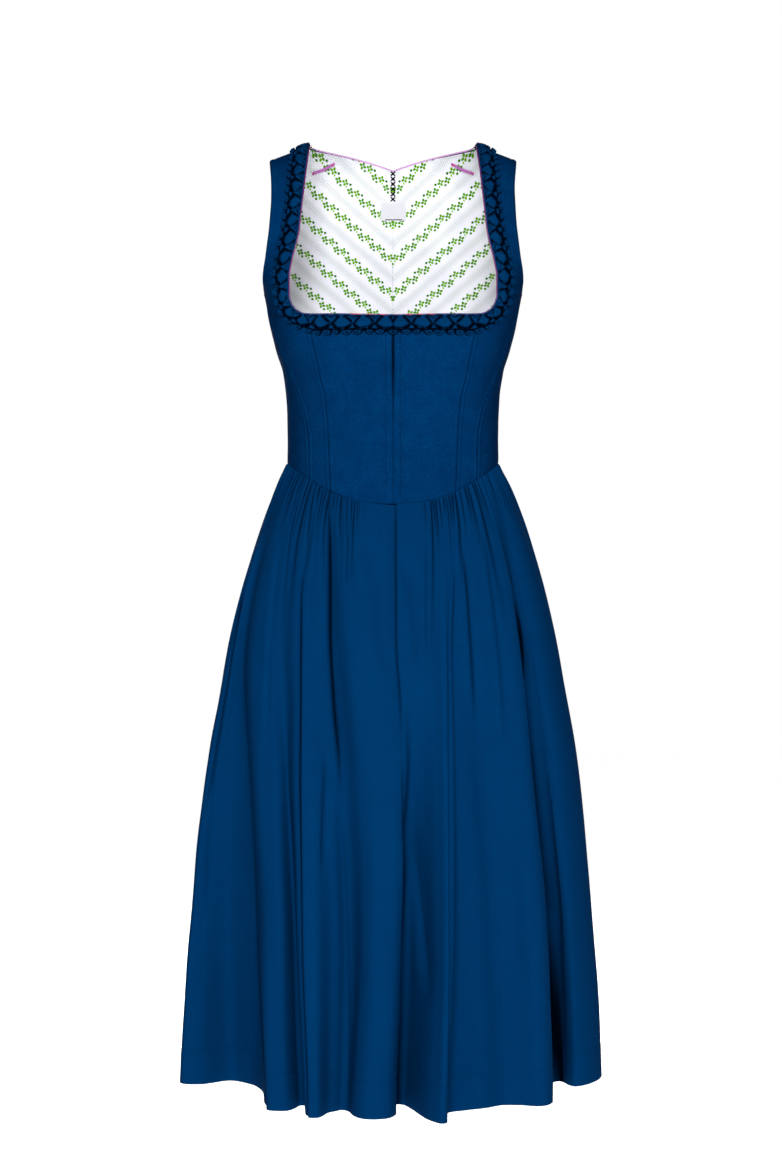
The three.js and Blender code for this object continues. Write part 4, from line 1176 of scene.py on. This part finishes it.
# ------------------------------------------------------------------ sub-assemblies
def seam_relief(distance: Array) -> Array:
    """Return the height of a topstitched seam allowance at a distance from the seam."""
    return -0.5 * bell(distance, 0.8) + 0.5 * bell(distance - 3.2, 1.7) - 0.3 * bell(distance - 6.0, 0.8)


def handed(grid: ClothGrid, dark: Array, mirrored: bool) -> tuple[ClothGrid, Array]:
    """Return a sheet and its painted shade mask for the right side, or mirrored for the left."""
    return (grid.mirrored(), dark[:, ::-1]) if mirrored else (grid, dark)


@dataclass
class Bodice:
    """The outer bodice panels and their stitching."""

    form: BodiceForm
    trim: TrimForm
    wardrobe: Wardrobe
    wall: float = 1.6
    stitch: float = 2.6
    placket_at: float = 8.3
    second_row_at: float = 12.0
    parted_z: float = -250.0
    parted_half: float = 55.0
    seam_shade: float = 0.55
    waist_shade: float = 0.5
    side_shade: float = 0.42
    trim_shade: float = 0.5

    def _wrinkles(self, grid: ClothGrid, seed: int) -> Array:
        """Return faint drag lines and dents of worn-in cloth."""
        x, z = grid.points[..., 0], grid.points[..., 2]
        waist = bell(z + 395, 45)
        return 0.35 * soft_noise(seed, x / 60, z / 45) + 0.5 * waist * soft_noise(seed + 1, x / 120, z / 16)

    def centre_front(self) -> list[tuple[ClothGrid, Array]]:
        """Return the centre front panels and their painted shade lines, the hidden closure between them."""
        grids = []
        for seed, mirrored in ((21, False), (31, True)):
            grid = grid_of(self.form.front_centre, edged(64), np.linspace(0, 1, 111))
            closing, seam, low, _ = grid.edge_distances()
            open_share = bell(grid.points[..., 2] - self.parted_z, self.parted_half)
            height = seam_relief(seam) + self._wrinkles(grid, seed)
            band = 0.55 if mirrored else 0.3
            ended = smooth_share(low, 3.0, 9.0)
            parted = mix(0.35, 1, open_share)
            height += -2.4 * bell(closing, 0.9 + 0.9 * open_share) * parted
            height += band * (1 - smooth_share(closing, 6.8, 8.0)) * ended
            placket, second = closing - self.placket_at, closing - self.second_row_at
            height += -0.45 * bell(placket, 0.6) * ended - 0.18 * bell(second, 0.7)
            height += -0.25 * bell(low, 1.0)
            # Painted shade in the closure's slit and along the grooves of the two stitch rows.
            slit_shade = 0.95 * bell(closing, 0.8 + 1.0 * open_share) * parted
            rows = np.maximum(0.42 * bell(placket, 0.9) * ended, 0.25 * bell(second, 0.9))
            dark = np.maximum.reduce([slit_shade, rows, self._seam_shade(grid, seam, low)])
            grid = grid.pushed(height)
            grid.points[:, 0, 0] = 0.0
            grids.append(handed(grid, dark, mirrored))
        return grids

    def _seam_shade(self, grid: ClothGrid, seam: Array, low: Array) -> Array:
        """Return the painted shade at the seams, along the waist and under the trim, from the distances to
        them.
        """
        seams = np.maximum(self.seam_shade * bell(seam, 0.9), self.waist_shade * bell(low, 1.5))
        return np.maximum(seams, self._under_trim(grid))

    def build(self) -> None:
        """Make every panel and its stitches."""
        cloth = self.wardrobe.bodice
        centre = self.centre_front()
        for side, (grid, dark) in zip(("right", "left"), centre):
            piece = grid.piece(f"bodice_centre_{side}", self.wall, dark)
            settle(piece, "bodice_cloth", cloth, f"front_centre_{side}")
            declare(piece, grid, (f"front_side_{side}",))
        panels = (
            ("front_side", self.form.front_side, 40, panel_rows(61, 21, 71), 41),
            ("side", self.form.side, 30, panel_rows(61, 19), 51),
            ("back", self.form.back, 60, panel_rows(61, 21, 71), 61),
        )
        for name, surface, columns, rows, seed in panels:
            behind = name == "back"
            for side, mirrored in SIDES:
                grid = grid_of(surface, edged(columns), rows)
                first, last, low, high = grid.edge_distances()
                seams = seam_relief(first if behind else np.minimum(first, last))
                if behind:
                    seams = -0.8 * bell(last, 1.0) + seams
                    seams += self._waist_dart(grid)
                hemmed = -0.5 * bell(high, 1.4) + 0.3 * bell(high - 3.5, 2)
                height = seams + hemmed - 0.25 * bell(low, 1.0) + self._wrinkles(grid, seed + mirrored)
                grid = grid.pushed(height)
                if behind:
                    grid.points[:, -1, 0] = 0.0
                dark = self._seam_shade(grid, np.minimum(first, last), low)
                # Painted shade where the cloth turns sideways.
                turned = np.abs(grid.normals[..., 0])
                dark = np.maximum(dark, self.side_shade * smooth_share(turned, 0.45, 0.97))
                grid, dark = handed(grid, dark, mirrored)
                piece = grid.piece(f"bodice_{name}_{side}", self.wall, dark)
                settle(piece, "bodice_cloth", cloth, f"{name}_{side}")
                held, holders = ("hung", ()) if behind else ("stretched", (f"back_{side}",))
                declare(piece, grid, holders)
        self._stitches(centre[0][0], centre[1][0])

    def _under_trim(self, grid: ClothGrid) -> Array:
        """Return the shade that the trim's outer edge throws on the cloth."""
        edge = self.trim.surface(np.linspace(0, 1, 300), np.full(300, 1.0))
        flat = grid.points.reshape(-1, 3)
        nearest = np.full(len(flat), 1e3)
        for part in np.array_split(np.arange(len(flat)), 20):
            nearest[part] = np.linalg.norm(flat[part, None] - edge[None], axis=-1).min(axis=1)
        return self.trim_shade * bell(nearest, 1.3).reshape(grid.points.shape[:2])

    def _waist_dart(self, grid: ClothGrid) -> Array:
        """Return the groove of the dart that shapes the back waist."""
        x, z = grid.points[..., 0], grid.points[..., 2]
        run = smooth_share(-z, 180, 230)
        return -0.9 * bell(x - mix(58, 46, np.clip((-z - 180) / 190, 0, 1)), 1.1) * run

    def _stitches(self, right: ClothGrid, left: ClothGrid) -> None:
        """Sew the rows beside the closure and the princess seams."""
        for name, grid, order in (("right", right, 1), ("left", left, -1)):
            closing, seam = grid.edge_distances()[:2][::order]
            places, ways, outs = [], [], []
            for distances, offset in ((closing, 8.2), (closing, self.second_row_at), (seam, 4.6)):
                column = np.argmin(np.abs(distances - offset), axis=1)
                rows = np.arange(grid.points.shape[0])
                line = grid.points[rows, column][4:-14]
                out = grid.normals[rows, column][4:-14]
                smooth = np.array([np.convolve(np.pad(line[:, k], 6, "edge"), np.ones(13) / 13, "valid")
                                   for k in range(3)]).T
                for into, found in zip((places, ways, outs), along_line(smooth, out, self.stitch, 0.05)):
                    into.append(found)
            runs = (np.concatenate(part) for part in (places, ways, outs))
            piece = stitch_run(f"closure_stitches_{name}", *runs, self.stitch * 0.72, 0.22)
            settle(piece, "bodice_cloth", self.wardrobe.blue_thread)


@dataclass
class BackLining:
    """The printed lining of the back, its zigzag seam, the blank label and the strap keepers."""

    form: BodiceForm
    wardrobe: Wardrobe
    outer_wall: float = 1.6
    wall: float = 1.0
    label_box: tuple[float, float, float, float] = (-14.5, 15.5, -70.0, -49.5)
    label_stitched: tuple[float, float] = (-9.0, 10.0)
    keeper_ends: tuple[float, float, float, float] = (97.0, -20.5, 70.0, -8.5)
    keeper_width: float = 2.8
    zigzag_top: float = -14.5
    zigzag_low: float = -52.0
    zigzag_wide: float = 3.3
    zigzag_step: float = 5.7
    zigzag_thread: float = 1.1

    def build(self) -> None:
        """Make the lining and what is sewn to it."""
        rows = panel_rows(46, 16, 61)
        seat = self.outer_wall + SEAM_GAP
        inside = seat + self.wall + 0.9
        sewn = self._keepers(inside)
        sewn["left"].append(self._zigzag(inside))
        for side, mirrored, seed in (("right", False, 71), ("left", True, 81)):
            grid = grid_of(self.form.back, edged(50), rows).pushed(-seat)
            _, centre, _, _ = grid.edge_distances()
            x, z = grid.points[..., 0], grid.points[..., 2]
            dart = bell(x - mix(56, 44, np.clip((-z - 170) / 180, 0, 1)), 1.2) * smooth_share(-z, 165, 200)
            slack = 0.5 * soft_noise(seed, x / 70, z / 60) - 0.35
            height = np.minimum(slack, 0) + 0.25 * dart + 0.2 * bell(centre, 1.5)
            grid = grid.pushed(np.minimum(height, 0.1))
            grid = grid.mirrored() if mirrored else grid
            piece = grid.piece(f"lining_{side}", self.wall)
            settle(piece, "lining_print", self.wardrobe.lining, f"back_lining_{side}")
            declare(piece, grid, (f"back_{side}",))
        self._label(inside)

    def _patch(self, place: Surface, columns: int, rows: int, depth: float) -> ClothGrid:
        """Return a small grid inside the back; place gives x and z for u and v."""
        def surface(u: Array, v: Array) -> Array:
            """Return points on the inside of the back."""
            spot = place(u, v)
            return self.form.point(spot[..., 0], spot[..., 1], True)

        grid = grid_of(surface, np.linspace(0, 1, columns + 1), np.linspace(0, 1, rows + 1))
        return grid.pushed(-depth)

    def _label(self, depth: float) -> None:
        """Make the blank label and its line of stitches."""
        left, right, low, high = self.label_box
        grid = self._patch(lambda u, v: np.stack([mix(right, left, u), mix(low, high, v)], -1),
                           30, 20, depth)
        first, last, bottom, top = grid.edge_distances()
        fold = 0.25 * bell(np.minimum(np.minimum(first, last), np.minimum(bottom, top)), 0.8)
        piece = grid.pushed(fold).piece("blank_label", 0.5)
        settle(piece, "label", self.wardrobe.label, "label")
        line = np.array([[x, low + 0.3] for x in np.linspace(*self.label_stitched, 40)])
        places = self.form.point(line[:, 0], line[:, 1], True) - np.array([0, depth + 0.9, 0])
        outs = np.tile([0, -1.0, 0], (len(places), 1))
        stitches = stitch_run("label_stitches", *along_line(places, outs, 2.0, 0.05), 2.4, 0.6)
        settle(stitches, "label", self.wardrobe.black_thread)
        declare(piece, grid, ("back_lining_left", "back_lining_right"))

    def _keepers(self, depth: float) -> dict[str, list[Piece]]:
        """Make the ribbon keepers inside the shoulders, each with two bar tacks."""
        made: dict[str, list[Piece]] = {}
        outer_x, outer_z, inner_x, inner_z = self.keeper_ends
        for side, mirrored in SIDES:
            grid = self._patch(lambda u, v: np.stack(
                [mix(outer_x, inner_x, u), mix(outer_z, inner_z, u) + self.keeper_width * v], -1),
                40, 6, depth)
            run = grid.uv[..., 0] / grid.uv[:, -1:, 0]
            grid = grid.pushed(-1.3 * np.sin(math.pi * run) ** 2)
            grid = grid.mirrored() if mirrored else grid
            piece = grid.piece(f"keeper_ribbon_{side}", 0.6)
            settle(piece, "ribbon", self.wardrobe.ribbon, f"strap_keeper_{side}")
            ends = grid.points[3, [3, -4]]
            outs = -grid.normals[3, [3, -4]]
            ways = np.tile([0.0, 0.0, 1.0], (2, 1))
            tacks = stitch_run(f"keeper_tacks_{side}", ends + outs * 0.9, ways, outs, 3.0, 0.9)
            settle(tacks, "ribbon", self.wardrobe.ribbon_end)
            made[side] = [piece, tacks]
        return made

    def _zigzag(self, depth: float) -> Piece:
        """Sew the black zigzag down the top of the centre back seam."""
        heights = np.arange(self.zigzag_top, self.zigzag_low, -self.zigzag_step)
        places, ways = [], []
        for first in (-1, 1):
            turns = first * self.zigzag_wide * (-1.0) ** np.arange(len(heights))
            corners = self.form.point(turns, heights, True) - np.array([0, depth, 0])
            places.append((corners[1:] + corners[:-1]) / 2)
            ways.append(corners[1:] - corners[:-1])
        outs = np.tile([0, -1.0, 0], (2 * len(heights) - 2, 1))
        long = math.hypot(2 * self.zigzag_wide, self.zigzag_step)
        piece = stitch_run("centre_back_zigzag", np.concatenate(places), np.concatenate(ways), outs,
                           long, self.zigzag_thread)
        return settle(piece, "lining_print", self.wardrobe.black_thread)


@dataclass
class NeckTrim:
    """The ruched strip on both sides and the piping that edges the neck."""

    form: TrimForm
    wardrobe: Wardrobe
    columns: int = 540
    rows: int = 42
    seat: float = 0.5
    wall: float = 0.9
    piping_radius: float = 0.8
    back_radius: float = 0.9

    def build(self) -> None:
        """Make both strips and the piping."""
        u, w = np.meshgrid(np.linspace(0, 1, self.columns + 1), np.linspace(0, 1, self.rows + 1))
        shifted = w + self.form.scallop(u, w)
        base = ClothGrid(self.form.surface(u, shifted))
        height, dark = self.form.relief(u, w)
        grid = base.pushed(self.seat + height)
        for side, mirrored in SIDES:
            strip, mask = handed(grid, dark, mirrored)
            piece = strip.piece(f"ruched_trim_{side}", self.wall, mask)
            settle(piece, "ruched_trim", self.wardrobe.trim, f"trim_{side}")
            declare(piece, strip, (f"front_side_{side}", f"front_centre_{side}"))
        self._piping()

    def _piping(self) -> None:
        """Run the piping round the whole neck edge."""
        bodice = self.form.bodice
        along = np.linspace(1, 0, 150)
        front = self.form.surface(along, np.full(along.shape, 0.0))
        x = bodice.neck_corner_x * (1 - np.linspace(0, 1, 61)[1:]) ** 1.2
        z = mix(bodice.armhole_z, bodice.shoulder_top(x), bodice.neck_share(x))
        half = np.concatenate([front, bodice.point(x, z, True)])
        whole = np.concatenate([half, (half * np.array([-1, 1, 1]))[-2::-1]])
        way = np.gradient(whole, axis=0)
        way /= np.linalg.norm(way, axis=-1, keepdims=True)
        inward = np.array([0, 0, -60.0]) - whole
        inward[:, 2] *= 0.2
        out = -inward / np.linalg.norm(inward, axis=-1, keepdims=True)
        off = np.cross(out, way)
        off /= np.linalg.norm(off, axis=-1, keepdims=True)
        behind = smooth_share(whole[:, 1], -6, 12)
        radii = mix(self.piping_radius, self.back_radius, behind)
        path = whole + off * (radii * mix(0.4, 0.9, behind))[:, None] - out * mix(0.2, 1.5, behind)[:, None]
        path[:, 2] -= 0.8 * behind
        piece = tube_piece("neck_edge_piping", path, radii)
        settle(piece, "piping", self.wardrobe.piping, "neck_piping")


@dataclass
class Skirt:
    """The gathered skirt in three panels."""

    form: SkirtForm
    wardrobe: Wardrobe
    wall: float = 1.0
    front_seam: int = 16
    right_seam: int = 33
    left_seam: int = 61
    front_columns: int = 330
    back_columns: int = 370
    rows: int = 120
    hem_rows: int = 5
    length: float = 700.0
    lap: float = 0.3
    gather_pitch: float = 4.8
    hem_deep: float = 39.0
    eye_z: float = -510.4
    eye_away: float = 2800.0
    creases: tuple[Crease, ...] = (
        Crease(((-123, -385), (-172, -491), (-181, -537), (-201, -665), (-227, -827)), 3.5, 8, 3, -1, 0.6),
        Crease(((-135, -423), (-164, -514), (-175, -612), (-165, -798), (-159, -972), (-152, -1100)),
               5.0, 12, 4, -1, 0.55),
        Crease(((-82, -400), (-99, -462), (-108, -522), (-110, -728), (-108, -914), (-102, -1102)),
               5.5, 6, 2.5, -1, 0.95),
        Crease(((-76, -350), (-75, -450), (-74, -560), (-70, -632), (-63, -711), (-58, -790)),
               6.0, 15, 2, 1, 0.95),
        Crease(((-64, -720), (-58, -800), (-53, -943), (-55, -1117)), 4.5, 11, 6, 1, 0.45),
        Crease(((-77, -690), (-79, -760), (-82, -850)), 2.5, 6, 3, 1, 0.35),
        Crease(((2, -340), (2.5, -450), (3, -568), (9, -655), (13, -740)), 3.5, 15, 1.6, -1, 0.55),
        Crease(((11, -690), (13, -798), (11, -972), (6, -1108)), 5.5, 13, 1.6, 1, 0.85),
        Crease(((39, -440), (39, -554), (38, -620)), 1.8, 5, 2, 1, 0.3),
        Crease(((63, -440), (65, -525), (66, -798), (67, -885), (66, -1059), (65, -1117)),
               3.4, 8, 1.8, 1, 0.25),
        Crease(((75, -430), (86, -500), (92, -580), (98, -680)), 3.6, 7, 2.5, 1, 0.6),
        Crease(((94, -600), (107, -754), (121, -914), (128, -1060)), 4.5, 18, 12, 1, 0.25),
        Crease(((99, -405), (116, -514), (126, -600), (134, -720)), 2.2, 6, 3, 1, 0.3),
        Crease(((113, -400), (144, -531), (156, -636), (165, -734), (182, -928), (188, -1082)),
               9.0, 15, 1.8, 1, 1.0, line=1.6),
        Crease(((152, -590), (157, -640), (167, -734), (178, -860), (185, -960)),
               3.0, 16, 2, 1, 0.9, line=2.5),
        Crease(((159, -537), (168, -612), (182, -725), (189, -798)), 2.4, 8, 3, 1, 0.3),
        Crease(((-128, -425), (-141, -560), (-148, -720)), 2.2, 6, 3, 1, 0.3),
        Crease(((-53, -432), (-54, -470), (-55, -520)), 1.6, 4, 1.6, 1, 0.5),
        Crease(((-34, -425), (-24, -480), (-13, -540), (-4, -640)), 3.0, 12, 9, 1, 0.15),
        Crease(((2, -455), (20, -500), (31, -560), (36, -620)), 3.2, 10, 8, 1, 0.2),
        Crease(((14, -760), (28, -860), (38, -960), (42, -1010)), 4.0, 12, 5, 1, 0.35),
        Crease(((-208, -690), (-212, -790), (-214, -900)), 2.5, 9, 4, 1, 0.25),
        Crease(((150, -800), (158, -900), (166, -1000)), -3.0, 12, 10),
        Crease(((-130, -640), (-132, -800), (-132, -1000)), -3.0, 11, 10),
        Crease(((-20, -700), (-20, -850), (-22, -1040)), -2.6, 14, 12),
        Crease(((26, -425), (44, -600), (58, -760), (66, -960)), 5.0, 12, 3, 1, 0.6, True),
        Crease(((-38, -425), (-66, -600), (-82, -800), (-88, -1100)), 5.5, 12, 3, -1, 0.7, True),
        Crease(((84, -420), (112, -560), (128, -760), (134, -1100)), 5.0, 11, 3, 1, 0.7, True),
        Crease(((-92, -420), (-124, -560), (-146, -760), (-158, -1000)), 4.5, 12, 3, -1, 0.5, True),
        Crease(((4, -430), (2, -560), (-6, -700), (-16, -860)), 3.5, 9, 3, 1, 0.4, True),
        Crease(((120, -400), (158, -560), (184, -760), (196, -980)), 4.0, 10, 3, 1, 0.4, True))

    def _gathers(self, folds: Array, grid: ClothGrid, downs: Array) -> tuple[Array, Array]:
        """Return the relief of the gathers under the waist seam.

        Args:
            folds: the columns' fold numbers.
            grid: the panel, its lowest row first.
            downs: share of the length of each row, in the same order.

        Returns:
            Heights of the grid's points, and the painted shade in the gathers' creases.
        """
        fine = np.linspace(-1, self.form.count - 1, 4000)
        ring = self.form.ring(fine, 0.0)
        arc = np.concatenate([[0], np.cumsum(np.linalg.norm(np.diff(ring, axis=0), axis=-1))])
        here = np.interp(folds, fine, arc)
        waist = self.form.ring(folds, 0.0)
        bearing = np.abs(np.arctan2(waist[:, 0], -waist[:, 1])) / DEGREE
        strength = np.clip((bearing - self.form.smooth_front) / self.form.smooth_blend, 0.12, 1)
        draw = np.random.default_rng(17)
        drop = downs[:, None] * self.length
        height = np.zeros(grid.points.shape[:2])
        dark = np.zeros_like(height)
        place = 0.0
        while place < arc[-1]:
            deep = draw.uniform(0.6, 2.4)
            wide = draw.uniform(0.7, 1.5)
            fade = draw.choice((24, 40, 60, 95, 150), p=(0.2, 0.3, 0.25, 0.15, 0.1))
            lean = draw.normal(0, 0.02)
            spread = 1 + drop / 110
            away = here[None, :] - place - lean * drop
            trough = np.where(away > 0, bell(away, 2.1 * wide * spread), bell(away, wide * spread))
            ridge = bell(away + 2.0 * wide * spread, 1.3 * wide * spread)
            gone = np.exp(-((drop / fade) ** 2)) * smooth_share(drop, -1.5, 2)
            height += (0.6 * ridge - trough) * deep * gone
            # Painted shade in the gather's crease.
            dark = np.maximum(dark, 0.75 * bell(away, 0.9 * wide * spread) * gone)
            place += draw.uniform(0.5, 1.5) * self.gather_pitch
        return height * strength[None, :], dark * strength[None, :]

    def _panel(self, name: str, first: float, last: float, columns: int) -> tuple[ClothGrid, Array]:
        """Return one panel's grid with its gathers, soft folds and hem, and its painted shade mask."""
        folds = self.form.even_folds(first, last, columns)
        stitched = 1 - (self.hem_deep + np.linspace(-2.4, 2.4, self.hem_rows)) / self.length
        even = np.linspace(0, 1, self.rows + 1 - self.hem_rows)
        downs = np.sort(np.concatenate([even ** 1.25, stitched]))[::-1]
        points = self.form.grid(folds, downs)
        grid = ClothGrid(points)
        lap = self.lap / np.maximum(np.linalg.norm(np.diff(points, axis=1)[:, [0, -1]], axis=-1), 1e-6)
        points[:, 0] -= (points[:, 1] - points[:, 0]) * lap[:, :1]
        points[:, -1] -= (points[:, -2] - points[:, -1]) * lap[:, 1:]
        first_edge, last_edge, low, _ = grid.edge_distances()
        height, dark = self._gathers(folds, grid, downs)
        for crease in self.creases:
            push, shade = crease.read(points, self.eye_z, self.eye_away)
            height -= push
            dark = np.maximum(dark, shade)
        z = points[..., 2]
        slack = smooth_share(downs, 0.02, 0.2)[:, None]
        height += 0.7 * soft_noise(91, points[..., 0] / 90, z / 150) * slack
        height += -0.45 * bell(low - self.hem_deep, 1.0) + 0.3 * (1 - smooth_share(low, 36, 39.5))
        height -= 0.1 * bell(first_edge, 0.8) + 0.1 * bell(last_edge, 0.8)
        # Painted shade along the hem's stitch groove.
        dark = np.maximum(dark, 0.22 * bell(low - self.hem_deep, 1.3))
        LOG.info("%s hem %.0f mm", name, grid.uv[0, -1, 0])
        return grid.pushed(height), dark

    def build(self) -> None:
        left = self.left_seam - self.form.count
        panels = (
            ("skirt_panel_front_left", left, self.front_seam, self.front_columns,
             ("skirt_front_side_left", "skirt_front_left"), ("front_centre_left", "front_side_left")),
            ("skirt_panel_front_right", self.front_seam, self.right_seam, self.front_columns,
             ("skirt_front_right", "skirt_front_side_right"), ("front_centre_right", "front_side_right")),
            ("skirt_panel_back", self.right_seam, self.left_seam, self.back_columns,
             ("skirt_back_side_right", "skirt_back_right", "skirt_back_left", "skirt_back_side_left"),
             ("back_left", "back_right")),
        )
        for name, first, last, columns, nodes, holders in panels:
            grid, dark = self._panel(name, first, last, columns)
            piece = settle(grid.piece(name, self.wall, dark), "skirt_cloth",
                           self.wardrobe.skirt, *nodes)
            declare(piece, grid, holders)


@dataclass
class Studio:
    """Floor, light and camera."""

    scale: float = 1.16
    distance: float = 2800.0
    camera_z: float = -510.4
    frame_height: float = 1175.0
    axis_px: float = 393.0
    centre_px: float = 391.0
    sensor: float = 36.0
    floor_z: float = -1.3
    side_light: float = 0.16

    def build(self) -> None:
        """Make the studio round the dress."""
        self._floor()
        self._world()
        self._lamp("key", (-0.25, -3.0, 0.5), 0.7, 122)
        self._lamp("fill", (0.4, -3.0, -0.2), 0.9, 47)
        self._lamp("back_key", (0.7, 3.0, 0.6), 0.9, 55)
        self._lamp("back_fill", (-0.9, 3.0, -0.1), 0.9, 30)
        camera = bpy.data.cameras.new("camera")
        camera.sensor_fit = "VERTICAL"
        camera.sensor_height = self.sensor
        camera.lens = self.sensor * self.distance / (self.frame_height * self.scale)
        holder = linked(camera)
        x = (self.centre_px - self.axis_px) * self.scale
        holder.location = Vector((x, -self.distance, self.camera_z)) * MM
        holder.rotation_euler = (math.pi / 2, 0, 0)
        bpy.context.scene.camera = holder
        bpy.context.scene.view_settings.view_transform = "Standard"

    def _floor(self) -> None:
        """Lay a plain pale floor."""
        maker = bmesh.new()
        bmesh.ops.create_grid(maker, x_segments=4, y_segments=4, size=9)
        bmesh.ops.translate(maker, vec=(0, 0, self.floor_z), verts=maker.verts)
        floor = linked(mesh_of(maker, "floor"))
        graph = Graph("pale_floor")
        tone = graph.blend(graph.noise(graph.place(), 2, 2), (0.9, 0.9, 0.9), (0.92, 0.92, 0.92))
        shine = graph.finish(tone, 0.9, Emission_Color=(1, 1, 1, 1), Emission_Strength=0.8)
        floor.data.materials.append(shine)

    def _world(self) -> None:
        """Light the room evenly and pale."""
        world = bpy.data.worlds.new("room")
        world.use_nodes = True
        tree = world.node_tree
        spot = tree.nodes.new("ShaderNodeTexCoord")
        split = tree.nodes.new("ShaderNodeSeparateXYZ")
        ramp = tree.nodes.new("ShaderNodeMapRange")
        ramp.interpolation_type = "SMOOTHSTEP"
        limits = {"From Min": 0.8, "From Max": 0.94, "To Min": self.side_light, "To Max": 1.0}
        for key, value in limits.items():
            ramp.inputs[key].default_value = value
        tree.links.new(spot.outputs["Generated"], split.inputs[0])
        tree.links.new(split.outputs["Y"], ramp.inputs["Value"])
        tree.links.new(ramp.outputs[0], tree.nodes["Background"].inputs["Strength"])
        tree.nodes["Background"].inputs["Color"].default_value = (1, 1, 1, 1)
        bpy.context.scene.world = world

    def _lamp(self, name: str, place: tuple[float, float, float], size: float, power: float) -> None:
        """Hang a soft lamp that faces the middle of the dress.

        Args:
            name: the lamp's name.
            place: where it hangs, in metres.
            size: its width in metres.
            power: its power in watts.
        """
        light = bpy.data.lights.new(name, "AREA")
        light.shape = "DISK"
        light.size = size
        light.energy = power
        lamp = linked(light)
        lamp.location = place
        aim = Vector((0, 0, -0.5)) - Vector(place)
        lamp.rotation_euler = aim.to_track_quat("-Z", "Y").to_euler()


def main() -> None:
    """Build the dress and its studio, and log the pieces' sizes."""
    logging.basicConfig(level=logging.INFO, format="%(name)s %(message)s")
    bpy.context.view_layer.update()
    bodice = BodiceForm()
    wardrobe = Wardrobe()
    Studio().build()
    trim = TrimForm(bodice)
    Bodice(bodice, trim, wardrobe).build()
    BackLining(bodice, wardrobe).build()
    NeckTrim(trim, wardrobe).build()
    Skirt(SkirtForm(bodice), wardrobe).build()


if __name__ == "__main__":
    main()
